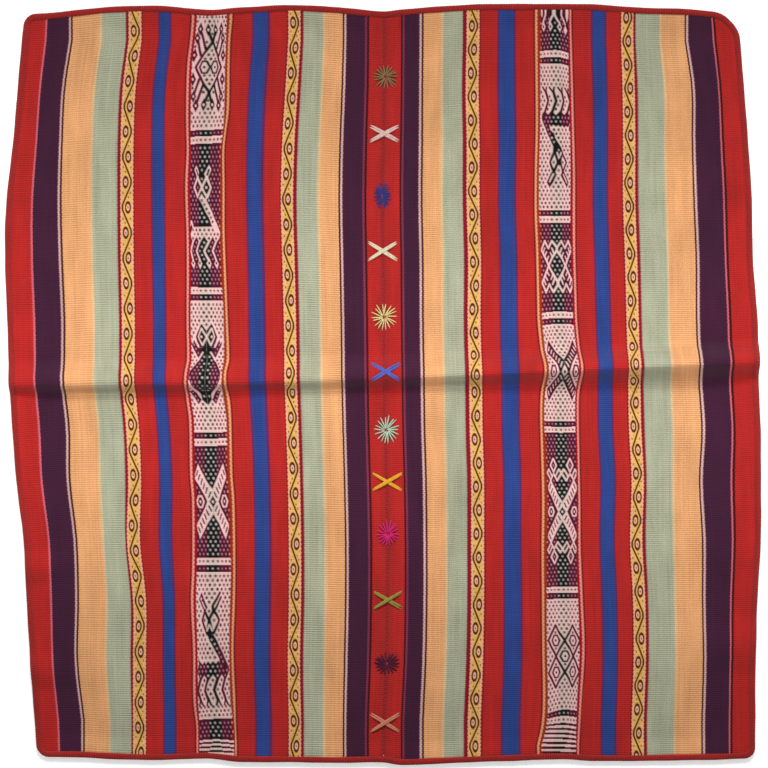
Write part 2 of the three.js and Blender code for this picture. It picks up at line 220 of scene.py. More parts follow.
def cloth_height(x, y):
    """Height of the middle of the cloth's thickness over the table."""
    from_side = np.minimum(x - left_edge(y), right_edge(y) - x)
    from_end = np.minimum(top_edge(x) - y, y - bottom_edge(x))
    inward = np.minimum(from_side, from_end)
    rise = (EDGING_THICKNESS - CLOTH_THICKNESS) / 2
    edge = rise * (1 - smooth_step(EDGE_LEVEL, EDGE_SLOPE_END, inward))
    return CLOTH_THICKNESS / 2 + edge + ridge_height(x, y) + wrinkle_height(x, y)


def cloth_normal(x, y, reach=0.3):
    slope_x = (cloth_height(x + reach, y) - cloth_height(x - reach, y)) / (2 * reach)
    slope_y = (cloth_height(x, y + reach) - cloth_height(x, y - reach)) / (2 * reach)
    normal = np.stack([-slope_x, -slope_y, np.ones_like(slope_x)], axis=-1)
    return normal / np.linalg.norm(normal, axis=-1, keepdims=True)


CORNERS = [(-1, 1, 8), (1, 1, 18), (1, -1, 8), (-1, -1, 9)]


def round_corner(x, y):
    """Pulls points near a corner in to its rounded outline and leaves all others."""
    round_x = np.array(x, float)
    round_y = np.array(y, float)
    for side, end, outer_radius in CORNERS:
        radius = outer_radius - EDGING_OUTSIDE
        side_at = left_edge(y) if side < 0 else right_edge(y)
        end_at = top_edge(x) if end > 0 else bottom_edge(x)
        a = 1 - (side_at - x) * side / radius
        b = 1 - (end_at - y) * end / radius
        inside = (a > 0) & (b > 0)
        a = np.clip(a, 0, 1)
        b = np.clip(b, 0, 1)
        new_x = side_at - side * radius * (1 - a * np.sqrt(1 - b * b / 2))
        new_y = end_at - end * radius * (1 - b * np.sqrt(1 - a * a / 2))
        round_x = np.where(inside, new_x, round_x)
        round_y = np.where(inside, new_y, round_y)
    return round_x, round_y


print("ridge at the right edge:", round(float(ridge_height(np.array(240.0), np.array(15.7))), 1), "mm")

# %% [markdown]
# Every warp yarn runs from end to end of the loom, but in the finished cloth it sways. A warp
# place, w, is counted in millimetres from the seam, and a chart of where eleven such warps lie
# at thirteen heights turns it into x. The weft is then laid in along these warps at even steps
# of their own length, so that over the ridge the picks look closer from above, as they should.

# %% Warps and picks
GUIDE_WARPS = [-279.4, -241, -191.5, -133.4, -71.1, 0, 67.7, 128.7, 185.8, 233.9, 273.9]
GUIDE_HEIGHTS = [-252, -207, -162, -117, -72, -34, 0, 48, 93, 138, 183, 221, 258]
GUIDES = {
    -241: [-224.3, -229.5, -228.8, -229.9, -235.1, -235.5, -238.9, -239, -240.8,
           -241.9, -241.1, -239.3, -233.6],
    -191.5: [-182.3, -182.3, -182.3, -186.8, -186, -187.5, -190.4, -190.7, -191.5,
             -191.8, -191.6, -190.1, -185.6],
    -133.4: [-125.3, -127.1, -127.5, -126.8, -127.5, -129.4, -132, -132.2, -132.4,
             -133.1, -133.9, -133.5, -129.8],
    -71.1: [-66, -66.8, -66, -66, -66.8, -67.9, -69, -69.8, -70.9, -72, -70.9, -68.6, -66.4],
    67.7: [68.3, 70.1, 70.9, 70.9, 70.9, 69.8, 69.4, 68.3, 68.6, 67.5, 67.5, 66.8, 67.5],
    128.7: [134.3, 135.4, 134.6, 133.5, 133.5, 132, 132, 130.9, 129.8, 128.6, 129.4, 129, 127.9],
    185.8: [190.9, 192.4, 192, 189.8, 190.9, 189, 188.3, 187.1, 186, 184.5, 184.5, 184.1, 183],
    233.9: [240, 241.1, 240.4, 240.4, 238.1, 240, 237.8, 235.9, 235.7, 234, 232.7, 232.5, 227.3],
}
PICKS = {-1: 350, 1: 384}
FINE_STEPS = 1500


def guide_place(index, y):
    """Where one of the charted warps lies at height y."""
    warp = GUIDE_WARPS[index]
    if index == 0:
        return left_edge(y)
    if index == len(GUIDE_WARPS) - 1:
        return right_edge(y)
    if warp == 0:
        return seam_line(y)
    return curve_through(GUIDE_HEIGHTS, GUIDES[warp], y)


def warp_place(w, y):
    """x of the warp w at heights y."""
    last = len(GUIDE_WARPS) - 2
    k = min(max(int(np.searchsorted(GUIDE_WARPS, w, side="right")) - 1, 0), last)
    share = (w - GUIDE_WARPS[k]) / (GUIDE_WARPS[k + 1] - GUIDE_WARPS[k])
    return (1 - share) * guide_place(k, y) + share * guide_place(k + 1, y)


def lay_warp(w):
    """A fine line of points down the warp w: x, y and the length along it from the top."""
    top = np.array(270.0)
    bottom = np.array(-270.0)
    for _ in range(5):
        top = top_edge(warp_place(w, top))
        bottom = bottom_edge(warp_place(w, bottom))
    y =np.linspace(float(top), float(bottom), FINE_STEPS)
    x = warp_place(w, y)
    z = cloth_height(x, y)
    steps = np.sqrt(np.diff(x) ** 2 + np.diff(y) ** 2 + np.diff(z) ** 2)
    return x, y, np.concatenate([[0], np.cumsum(steps)])


def weave_grid(warps, places, side):
    """Points and normals of a panel's middle where warps cross places from 0, top, to 1."""
    points = np.zeros((len(places), len(warps), 3))
    normals = np.zeros_like(points)
    for j, w in enumerate(warps):
        x_line, y_line, run = lay_warp(w)
        at = np.asarray(places) * run[-1]
        x = np.interp(at, run, x_line)
        y = np.interp(at, run, y_line)
        if abs(w) < 1e-6:
            x = x + side * PIECE_GAP / 2
        points[:, j, 2] = cloth_height(x, y)
        normals[:, j] = cloth_normal(x, y)
        points[:, j, 0], points[:, j, 1] = round_corner(x, y)
    return points, normals


print("warp of the left figured band is", round(lay_warp(-133.4)[2][-1], 1), "mm long")

# %% [markdown]
# Meshes with hundreds of thousands of corners are quick to make if their numbers go to Blender
# as whole arrays. This helper takes points, faces of any corner count and named values for each
# point, and hands the finished piece to the frame with its material slot.

# %% Make a mesh piece
def make_piece(name, points_mm, faces, material, values=None, colours=None):
    """faces is a list of integer arrays, each with one row for a face."""
    mesh = bpy.data.meshes.new(name)
    points = np.asarray(points_mm, np.float32).reshape(-1, 3) * MM
    mesh.vertices.add(len(points))
    mesh.vertices.foreach_set("co", points.ravel())
    counts = np.concatenate([np.full(len(f), f.shape[1], np.int32) for f in faces])
    corners = np.concatenate([f.ravel() for f in faces]).astype(np.int32)
    mesh.loops.add(len(corners))
    mesh.loops.foreach_set("vertex_index", corners)
    mesh.polygons.add(len(counts))
    starts = np.concatenate([[0], np.cumsum(counts)[:-1]]).astype(np.int32)
    mesh.polygons.foreach_set("loop_start", starts)
    mesh.polygons.foreach_set("loop_total", counts)
    mesh.update(calc_edges=True)
    mesh.validate()
    mesh.polygons.foreach_set("use_smooth", np.full(len(mesh.polygons), True))
    for label, rows in (values or {}).items():
        attribute = mesh.attributes.new(label, "FLOAT_VECTOR", "POINT")
        attribute.data.foreach_set("vector", np.asarray(rows, np.float32).ravel())
    for label, rows in (colours or {}).items():
        attribute = mesh.color_attributes.new(label, "FLOAT_COLOR", "POINT")
        rows = np.asarray(rows, np.float32).reshape(-1, 3)
        opaque = np.ones((len(rows), 1), np.float32)
        attribute.data.foreach_set("color", np.hstack([rows, opaque]).ravel())
    mesh.materials.append(material)
    piece = bpy.data.objects.new(name, mesh)
    bpy.context.scene.collection.objects.link(piece)
    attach(piece, "root")
    print(name, "has", sum(int(c) - 2 for c in counts), "triangles")
    return piece


def grid_faces(rows, columns, first=0, flip=False):
    """The four-cornered faces of a grid of points, rows by columns."""
    index = first + np.arange(rows * columns).reshape(rows, columns)
    corners = [index[:-1, :-1], index[1:, :-1], index[1:, 1:], index[:-1, 1:]]
    if flip:
        corners = corners[::-1]
    return np.stack([c.ravel() for c in corners], axis=1)


# %% [markdown]
# Three effects are shared by all the wool here, so each is one node group. "Wool tone" varies a
# colour as handspun yarn does, in long streaks along the warp and small flecks across it. "Pick
# shade" paints shade into the colour: it darkens the furrow between two picks, where shadow
# falls. "Yarn relief" is the height of the twisted yarn for a Bump node. They only put out
# colours, masks and heights, so the shader itself stays in each material.

# %% Helpers for node groups
def new_group(name, inputs, outputs):
    group = bpy.data.node_groups.new(name, "ShaderNodeTree")
    for label, kind, value in inputs:
        socket = group.interface.new_socket(name=label, in_out="INPUT", socket_type=kind)
        if value is not None:
            socket.default_value = value
    for label, kind in outputs:
        group.interface.new_socket(name=label, in_out="OUTPUT", socket_type=kind)
    nodes = group.nodes
    return group, nodes.new("NodeGroupInput"), nodes.new("NodeGroupOutput")


def put(target, socket, value):
    """Links a node's output to a socket, or sets the socket to a plain value."""
    if isinstance(value, bpy.types.NodeSocket):
        target.id_data.links.new(value, target.inputs[socket])
    elif value is not None:
        target.inputs[socket].default_value = value


def maths(tree, operation, first, second=None, third=None):
    node = tree.nodes.new("ShaderNodeMath")
    node.operation = operation
    put(node, 0, first)
    put(node, 1, second)
    put(node, 2, third)
    return node.outputs[0]


def spread(tree, value, from_low, from_high, to_low, to_high):
    node = tree.nodes.new("ShaderNodeMapRange")
    put(node, "Value", value)
    put(node, "From Min", from_low)
    put(node, "From Max", from_high)
    put(node, "To Min", to_low)
    put(node, "To Max", to_high)
    return node.outputs["Result"]


def combine(tree, x=0.0, y=0.0, z=0.0):
    node = tree.nodes.new("ShaderNodeCombineXYZ")
    put(node, 0, x)
    put(node, 1, y)
    put(node, 2, z)
    return node.outputs[0]


def cloudy(tree, place, scale, detail=2.0, roughness=0.5):
    node = tree.nodes.new("ShaderNodeTexNoise")
    put(node, "Vector", place)
    put(node, "Scale", scale)
    put(node, "Detail", detail)
    put(node, "Roughness", roughness)
    return node.outputs[0]


def blend_colours(tree, mode, share, first, second):
    node = tree.nodes.new("ShaderNodeMix")
    node.data_type = "RGBA"
    node.blend_type = mode
    put(node, 0, share)
    put(node, 6, first)
    put(node, 7, second)
    return node.outputs[2]


# %% Node group: wool tone
def make_wool_tone():
    group, given, made = new_group(
        "Wool tone",
        [
            ("Colour", "NodeSocketColor", (0.5, 0.5, 0.5, 1)),
            ("Warp", "NodeSocketFloat", None),
            ("Pick", "NodeSocketFloat", None),
            ("Streaks", "NodeSocketFloat", 0.2),
            ("Flecks", "NodeSocketFloat", 0.15),
        ],
        [("Colour", "NodeSocketColor")],
    )
    warp = given.outputs["Warp"]
    pick = given.outputs["Pick"]
    across = maths(group, "MULTIPLY", warp, 0.9)
    streak = cloudy(group, combine(group, across, maths(group, "MULTIPLY", pick, 0.018)), 1.0)
    patch = cloudy(
        group,
        combine(group, maths(group, "MULTIPLY", warp, 0.03), maths(group, "MULTIPLY", pick, 0.03)),
        1.0,
    )
    fleck = cloudy(group, combine(group, maths(group, "MULTIPLY", warp, 1.3), pick), 0.9)
    streak = maths(group, "MULTIPLY", maths(group, "SUBTRACT", streak, 0.5), given.outputs["Streaks"])
    patch = maths(group, "MULTIPLY", maths(group, "SUBTRACT", patch, 0.5), given.outputs["Streaks"])
    fleck = maths(group, "MULTIPLY", maths(group, "SUBTRACT", fleck, 0.5), given.outputs["Flecks"])
    total = maths(group, "ADD", maths(group, "ADD", streak, patch), fleck)
    factor = maths(group, "MULTIPLY_ADD", total, 2.0, 1.0)
    tinted = blend_colours(
        group, "MULTIPLY", 1.0, given.outputs["Colour"], combine(group, factor, factor, factor)
    )
    put(made, "Colour", tinted)
    return group


WOOL_TONE = make_wool_tone()


# %% Node group: pick shade, painted into the colour
def make_pick_painted_shade():
    group, given, made = new_group(
        "Pick shade",
        [
            ("Colour", "NodeSocketColor", (0.5, 0.5, 0.5, 1)),
            ("Warp", "NodeSocketFloat", None),
            ("Pick", "NodeSocketFloat", None),
            ("Depth", "NodeSocketFloat", 0.3),
        ],
        [("Colour", "NodeSocketColor"), ("Furrow", "NodeSocketFloat")],
    )
    warp = given.outputs["Warp"]
    wander = cloudy(
        group,
        combine(group, maths(group, "MULTIPLY", warp, 0.05), given.outputs["Pick"]),
        0.35,
    )
    pick = maths(group, "MULTIPLY_ADD", wander, 0.8, given.outputs["Pick"])
    wave = maths(group, "COSINE", maths(group, "MULTIPLY", pick, 2 * math.pi))
    furrow = maths(group, "POWER", maths(group, "MULTIPLY_ADD", wave, -0.5, 0.5), 1.6)
    patchy = cloudy(
        group,
        combine(
            group,
            maths(group, "MULTIPLY", warp, 0.12),
            maths(group, "MULTIPLY", given.outputs["Pick"], 0.05),
        ),
        1.0,
    )
    depth = maths(group, "MULTIPLY", given.outputs["Depth"], spread(group, patchy, 0.3, 0.7, 0.4, 1.4))
    # Painted shade: the colour is darkened by the furrow mask between the picks.
    share = maths(group, "MULTIPLY", furrow, depth)
    factor = maths(group, "SUBTRACT", 1.0, share)
    shaded = blend_colours(
        group, "MULTIPLY", 1.0, given.outputs["Colour"], combine(group, factor, factor, factor)
    )
    put(made, "Colour", shaded)
    put(made, "Furrow", furrow)
    return group


PICK_PAINTED_SHADE = make_pick_painted_shade()


# %% Node group: yarn relief
def make_yarn_relief():
    group, given, made = new_group(
        "Yarn relief",
        [
            ("Warp", "NodeSocketFloat", None),
            ("Pick", "NodeSocketFloat", None),
            ("Yarn width", "NodeSocketFloat", 0.8),
        ],
        [("Height", "NodeSocketFloat")],
    )
    yarns = maths(group, "DIVIDE", given.outputs["Warp"], given.outputs["Yarn width"])
    odd = maths(group, "MULTIPLY", maths(group, "FLOOR", yarns), 0.5)
    round_yarn = maths(group, "ABSOLUTE", maths(group, "SINE", maths(group, "MULTIPLY", yarns, math.pi)))
    pick = maths(group, "ADD", given.outputs["Pick"], odd)
    float_wave = maths(group, "COSINE", maths(group, "MULTIPLY", pick, 2 * math.pi))
    fuzz = cloudy(group, combine(group, maths(group, "MULTIPLY", yarns, 3.0), given.outputs["Pick"]), 3.0)
    height = maths(group, "MULTIPLY_ADD", float_wave, 0.2, round_yarn)
    put(made, "Height", maths(group, "MULTIPLY_ADD", fuzz, 0.5, height))
    return group


YARN_RELIEF = make_yarn_relief()
print("node groups:", [g.name for g in bpy.data.node_groups])

# %% [markdown]
# A wool material is a Principled BSDF with no gloss to speak of and a soft sheen from the loose
# fibres. This starter makes one, puts the three groups in it and gives back the tree, so that
# each fabric only has to say where its colour comes from.

# %% Start a wool material
def place_group(tree, group, **given):
    node = tree.nodes.new("ShaderNodeGroup")
    node.node_tree = group
    for label, value in given.items():
        put(node, label.replace("_", " "), value)
    return node


def start_wool(name, roughness=0.9, sheen=0.08):
    material = bpy.data.materials.new(name)
    material.use_nodes = True
    tree = material.node_tree
    shader = tree.nodes["Principled BSDF"]
    shader.inputs["Roughness"].default_value = roughness
    shader.inputs["Specular IOR Level"].default_value = 0.12
    shader.inputs["Sheen Weight"].default_value = sheen
    shader.inputs["Sheen Roughness"].default_value = 0.6
    place = tree.nodes.new("ShaderNodeAttribute")
    place.attribute_name = "cloth"
    split = tree.nodes.new("ShaderNodeSeparateXYZ")
    put(split, 0, place.outputs["Vector"])
    return material, tree, shader, split.outputs[0], split.outputs[1]


def finish_wool(tree, shader, colour, warp, pick, streaks, flecks, painted_furrow_shade, relief):
    tone = place_group(
        tree, WOOL_TONE, Colour=colour, Warp=warp, Pick=pick, Streaks=streaks, Flecks=flecks
    )
    # Painted shade: the furrows between picks are darkened in the base colour.
    shade = place_group(
        tree, PICK_PAINTED_SHADE, Colour=tone.outputs[0], Warp=warp, Pick=pick, Depth=painted_furrow_shade
    )
    put(shader, "Base Color", shade.outputs["Colour"])
    height = place_group(tree, YARN_RELIEF, Warp=warp, Pick=pick)
    bump = tree.nodes.new("ShaderNodeBump")
    bump.inputs["Strength"].default_value = relief
    bump.inputs["Distance"].default_value = 0.0003
    put(bump, "Height", height.outputs[0])
    put(shader, "Normal", bump.outputs[0])


# %% [markdown]
# The stripes are set when the loom is warped: so many yarns of each dye, side by side. A stripe
# list gives the place where each ends, in millimetres from the seam. One Color Ramp holds at
# most 32 stops, so a panel's list is cut into several ramps, and a switch on w picks the right
# one. Each edge is a soft step. Beside blue and violet it is wider, because there yarns of both
# dyes lie mixed. A small sway from pick to pick makes the edge toothed, because in warp-faced
# cloth the yarns come up by turns.

# %% The stripes
LEFT_STRIPES = [
    ("red", -263.2), ("pink", -261.8), ("aubergine", -242.9), ("cream", -241.6),
    ("dark", -240), ("peach", -218.9), ("straw", -217.3), ("sage", -198.9),
    ("crimson", -196.4), ("gold", -187.1), ("crimson", -186.2), ("red", -173.6),
    ("violet", -172.6), ("blue", -164.8), ("violet", -163.6), ("red", -102.4),
    ("violet", -101.2), ("blue", -91.2), ("violet", -89), ("red", -76.4),
    ("dark", -75.4), ("gold", -66.2), ("crimson", -63.8), ("sage", -48.5),
    ("straw", -46.7), ("peach", -32.8), ("dark", -31.4), ("cream", -30),
    ("aubergine", -15), ("magenta", -13.4), ("dark", -11.8), ("red", 0.5),
]
RIGHT_STRIPES = [
    ("red", 12.8), ("dark", 14.1), ("magenta", 15.6), ("aubergine", 27.1), ("cream", 28.6),
    ("dark", 30.1), ("peach", 43.3), ("straw", 45.2), ("sage", 59.8),
    ("crimson", 62.5), ("gold", 72.8), ("crimson", 73.6), ("red", 86.2),
    ("violet", 87.2), ("blue", 98.4), ("violet", 99.6), ("red", 157.6),
    ("violet", 158.8), ("blue", 168.2), ("violet", 169.4), ("red", 180.2),
    ("dark", 181.1), ("gold", 190.6), ("crimson", 192.7), ("sage", 212),
    ("straw", 213.7), ("peach", 232.5), ("dark", 233.8), ("cream", 235.3),
    ("aubergine", 254.9), ("pink", 256.1), ("dark", 257.9), ("red", 282.5),
]
SOFT_EDGE = {"cream": 0.9, "straw": 1.4, "sage": 0.9, "violet": 1.4, "blue": 2.2}
PLAIN_EDGE = 0.3
STRIPES_IN_RAMP = 12


def edge_softness(one, other):
    return max(SOFT_EDGE.get(one, PLAIN_EDGE), SOFT_EDGE.get(other, PLAIN_EDGE))


def stripe_ramp(tree, warp, stripes, start, end):
    """One Color Ramp for a run of stripes between two warp places."""
    ramp = tree.nodes.new("ShaderNodeValToRGB")
    ramp.color_ramp.interpolation = "LINEAR"
    put(ramp, "Fac", spread(tree, warp, start, end, 0.0, 1.0))
    stops = [(start, stripes[0][0])]
    for (name, edge), (following, _) in zip(stripes[:-1], stripes[1:]):
        half = edge_softness(name, following) / 2
        stops += [(edge - half, name), (edge + half, following)]
    elements = ramp.color_ramp.elements
    while len(elements) < len(stops):
        elements.new(0.5)
    previous = 0.0
    for element, (place, name) in zip(elements, stops):
        share = min(max((place - start) / (end - start), previous), 1.0)
        element.position = share
        element.color = (*DYES[name], 1)
        previous = share + 1e-5
    return ramp.outputs["Color"]


def stripe_colour(tree, warp, stripes, first):
    """The dye at a warp place, from as many ramps as the stripe list needs."""
    colour = None
    start = first
    for k in range(0, len(stripes), STRIPES_IN_RAMP):
        run = stripes[k:k + STRIPES_IN_RAMP + 1]
        end = run[-1][1]
        made = stripe_ramp(tree, warp, run, start, end)
        if colour is None:
            colour = made
        else:
            later = maths(tree, "GREATER_THAN", warp, start)
            colour = blend_colours(tree, "MIX", later, colour, made)
        start = (stripes[min(k + STRIPES_IN_RAMP, len(stripes)) - 1][1] + run[-1][1]) / 2
    return colour


def make_panel_material(name, stripes, first):
    material, tree, shader, warp, pick = start_wool(name)
    turn = maths(tree, "SINE", maths(tree, "MULTIPLY", pick, math.pi))
    toothed = maths(tree, "MULTIPLY_ADD", turn, 0.1, warp)
    stray = cloudy(tree, combine(tree, 0.0, maths(tree, "MULTIPLY", pick, 0.25)), 1.0)
    swaying = maths(tree, "MULTIPLY_ADD", maths(tree, "SUBTRACT", stray, 0.5), 0.5, toothed)
    colour = stripe_colour(tree, swaying, stripes, first)
    finish_wool(tree, shader, colour, warp, pick, 0.22, 0.16, 0.32, 0.5)
    return material


LEFT_WOOL = make_panel_material("left_panel_wool", LEFT_STRIPES, -282)
RIGHT_WOOL = make_panel_material("right_panel_wool", RIGHT_STRIPES, -0.5)
print("stripes:", len(LEFT_STRIPES), "and", len(RIGHT_STRIPES))

# %% [markdown]
# Each panel is one closed sheet. Its upper face has four rows of points to a pick, raised and
# lowered as ribs, because in warp-faced cloth the hidden weft shows as fine ribs across it. The
# underside has one row to a pick. Down each side the rim joins five points of the upper face to
# two of the lower one, in faces of seven corners.

# %% Weave the two panels
ROWS_IN_PICK = 4
RIB_HEIGHT = 0.11
LEFT_COLUMNS = np.concatenate([[-279.4, -277.8, -274, -266], np.linspace(-256, 0, 30)])
RIGHT_COLUMNS = np.concatenate([np.linspace(0, 252, 30), [262, 268.5, 272.3, 273.9]])


def weave_panel(name, node, side, warps, material):
    picks = PICKS[side]
    places = np.linspace(0, 1, picks * ROWS_IN_PICK + 1)
    points, normals = weave_grid(warps, places, side)
    phase = 2 * np.pi * places * picks
    wander = 0.7 * np.sin(np.asarray(warps) * 0.09)[None, :]
    ribs = RIB_HEIGHT * (np.cos(phase[:, None] + wander) - 1)
    top = points + normals * (CLOTH_THICKNESS / 2 + ribs)[..., None]
    coarse = points[::ROWS_IN_PICK]
    under = coarse - normals[::ROWS_IN_PICK] * CLOTH_THICKNESS / 2
    rows, columns = top.shape[:2]
    low_rows = len(under)
    first = rows * columns
    faces = [grid_faces(rows, columns), grid_faces(low_rows, columns, first, flip=True)]
    high = np.arange(rows * columns).reshape(rows, columns)
    low = first + np.arange(low_rows * columns).reshape(low_rows, columns)
    faces.append(np.stack([high[0, :-1], high[0, 1:], low[0, 1:], low[0, :-1]], axis=1))
    faces.append(np.stack([high[-1, 1:], high[-1, :-1], low[-1, :-1], low[-1, 1:]], axis=1))
    left = [high[k:k + rows - ROWS_IN_PICK:ROWS_IN_PICK, 0] for k in range(ROWS_IN_PICK + 1)]
    right = [high[k:k + rows - ROWS_IN_PICK:ROWS_IN_PICK, -1] for k in range(ROWS_IN_PICK + 1)]
    faces.append(np.stack([low[:-1, 0], low[1:, 0], *left[::-1]], axis=1))
    faces.append(np.stack([low[1:, -1], low[:-1, -1], *right], axis=1))
    place = np.zeros((rows, columns, 3))
    place[..., 0] = np.asarray(warps)[None, :]
    place[..., 1] = (places * picks)[:, None]
    values = np.concatenate([place.reshape(-1, 3), place[::ROWS_IN_PICK].reshape(-1, 3)])
    corners = np.concatenate([top.reshape(-1, 3), under.reshape(-1, 3)])
    panel = make_piece(name, corners, faces, material, {"cloth": values})
    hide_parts(node)
    return panel


panel_left = weave_panel("left_panel_weave", "panel_left", -1, LEFT_COLUMNS, LEFT_WOOL)
panel_right = weave_panel("right_panel_weave", "panel_right", 1, RIGHT_COLUMNS, RIGHT_WOOL)

# %% [markdown]
# The figured bands are pebble weave. Every warp place holds a dark and a light yarn, and the
# weaver lifts one or the other. In each pebble row every other place shows its second colour,
# and that leaves small dots all over the ground. A figure is written here as a weaver would
# sketch it: lines, filled patches, rings and slots, in warp places across and pebble rows down.
# The middle of the band is at 8.5 across. Tones are DARK or LIGHT, and a motif may be mirrored
# across (x), down (y) or both.

# %% Words for sketching a figure
DARK = 0.0
LIGHT = 1.0
MIDDLE = 8.5


def line(tone, points, width=0.95, mirror=""):
    return {"kind": "line", "tone": tone, "points": points, "width": width, "mirror": mirror}


def patch(tone, points, mirror=""):
    return {"kind": "patch", "tone": tone, "points": points, "mirror": mirror}


def dot(tone, across, down, mirror=""):
    return {"kind": "dot", "tone": tone, "points": [(across, down)], "mirror": mirror}


def lozenge(tone, across, down, half_across, half_down, mirror=""):
    points = [
        (across, down - half_down),
        (across + half_across, down),
        (across, down + half_down),
        (across - half_across, down),
    ]
    return patch(tone, points, mirror)


def ring(tone, across, down, half_across=1.7, half_down=1.2, mirror=""):
    """A hexagon ring with a dot in its middle."""
    slim = 0.45 * half_across
    points = [
        (across - slim, down - half_down),
        (across + slim, down - half_down),
        (across + half_across, down),
        (across + slim, down + half_down),
        (across - slim, down + half_down),
        (across - half_across, down),
        (across - slim, down - half_down),
    ]
    return [line(tone, points, 0.85, mirror), dot(tone, across, down, mirror)]


def slots(tone, places):
    """Short slanting slots that a filled bar is cut up with, mirrored both ways."""
    cut = []
    for across, down in places:
        ends = [(across + 0.42, down - 0.55), (across - 0.42, down + 0.55)]
        cut.append(line(tone, ends, 0.6, "xy"))
    return cut


# %% [markdown]
# The animal stands on long bent legs with its neck stretched back and its head low, as on many
# Andean bands. The left band has it light on dark. Both bands have it dark on light, once upright
# and once turned half round, and there the weaver gave it split feet and larger ears.

# %% Figures: the long-necked animal
def animal_figure():
    shapes = [
        patch(LIGHT, [(4.5, 4.9), (6.1, 6.5), (5.6, 7.8), (5.2, 7.8), (3.4, 6.0)]),
        line(DARK, [(4.5, 5.9), (5.4, 7.1)], 0.65),
        patch(LIGHT, [(10.5, 4.8), (11.7, 5.9), (9.8, 7.8), (9.2, 7.8), (8.5, 6.9)]),
        line(DARK, [(10.4, 5.9), (9.7, 7.1)], 0.8),
        line(LIGHT, [(5.5, 7.6), (3.5, 10), (5.6, 12.3)]),
        line(LIGHT, [(5.5, 7.6), (7.5, 10), (9.6, 12.3)]),
        line(LIGHT, [(9.5, 7.6), (7.5, 10), (5.5, 12.2)]),
        line(LIGHT, [(9.5, 7.6), (11.5, 10), (9.7, 12.3)]),
        dot(LIGHT, 9.5, 10),
        patch(LIGHT, [(5.3, 11.5), (9.8, 11.5), (9.4, 13.0), (16.8, 20.5), (12.4, 19.3)]),
        line(DARK, [(6.2, 12.3), (7.5, 11.0), (8.8, 12.3)], 0.8),
        patch(LIGHT, [(2.3, 19.3), (12.4, 19.2), (15.6, 19.3), (16.8, 20.6), (16.6, 21.4),
                      (15.9, 22.2), (14.5, 23), (13.4, 22.3), (12.5, 21.5), (11.6, 22.3),
                      (10.5, 23), (9.4, 22.3), (8.5, 21.4), (7.5, 22.3), (6.5, 23),
                      (5.4, 22.3), (4.5, 21.6), (3.6, 22.3), (2.5, 23), (1.5, 22),
                      (0.9, 21), (1.7, 20)]),
        line(LIGHT, [(0.8, 18.9), (1.5, 17.9), (2.5, 19.5)], 0.8),
    ]
    for top, knee in ((2.5, 1.0), (6.5, 4.7), (10.5, 8.5), (14.5, 12.5)):
        shapes.append(line(LIGHT, [(top, 22.7), (knee, 25), (top, 27.3)], 0.9))
        foot = [(top, 27), (top + 1.2, 28.1), (top + 0.2, 29.5), (top - 1.2, 28.1)]
        shapes.append(patch(LIGHT, foot))
        shapes.append(dot(DARK, top, 28))
    return shapes


def upright_dark_animal():
    shapes = [
        patch(DARK, [(3.7, 4.7), (6.9, 8.2), (5.6, 9.3), (4.9, 8.7), (2.3, 6.4)]),
        lozenge(LIGHT, 3.6, 6.3, 0.55, 0.55),
        line(LIGHT, [(4.2, 7.0), (5.7, 8.4)], 0.65),
        line(DARK, [(11.7, 4.8), (8.9, 7.9), (9.3, 9.0)], 1.1),
        line(DARK, [(12.4, 5.9), (9.8, 8.8)]),
        line(DARK, [(5.6, 9.0), (4.2, 11), (6.6, 13.8)], 1.05),
        line(DARK, [(5.6, 9.0), (7.5, 10.9), (9.4, 8.9)], 1.15),
        line(DARK, [(9.4, 8.9), (11.7, 11), (9.4, 13.6)], 1.05),
        patch(DARK, [(7.5, 10.4), (8.3, 11), (8.9, 12.6), (9.6, 13.8), (6.7, 13.9), (6.4, 12.6),
                     (7.0, 11)]),
        line(LIGHT, [(6.5, 13.1), (7.6, 11.9), (8.8, 13.1)], 0.6),
        patch(DARK, [(6.4, 13.4), (9.3, 13.9), (11, 15.8), (13.3, 18), (16.6, 21.3), (11.6, 20.4),
                     (11.4, 19.4), (7.6, 15.4)]),
        patch(DARK, [(1.3, 18.7), (2.0, 19.8), (3.5, 20.5), (4.6, 19.9), (5.5, 20.5), (6.6, 19.8),
                     (7.6, 20.4), (8.6, 19.8), (9.7, 20.4), (10.7, 19.7), (11.7, 20.3),
                     (16.6, 21.2), (16.9, 22), (16.2, 22.9), (14.6, 24.2), (12.6, 22.8),
                     (10.6, 24.2), (8.6, 22.8), (6.6, 24.2), (4.5, 22.9), (2.5, 24.2),
                     (1.4, 23), (0.4, 21.7), (1.5, 20.4)]),
        line(LIGHT, [(1.3, 20.2), (0.5, 21.5)], 0.6),
    ]
    for top in (2.5, 6.5, 10.5, 14.5):
        shapes.append(line(DARK, [(top, 23.6), (top - 1.6, 26.1), (top + 0.1, 28.4)], 1.25))
        shapes.append(line(DARK, [(top - 0.7, 29.6), (top, 28.2), (top + 1.3, 29.6)], 0.9))
    return shapes


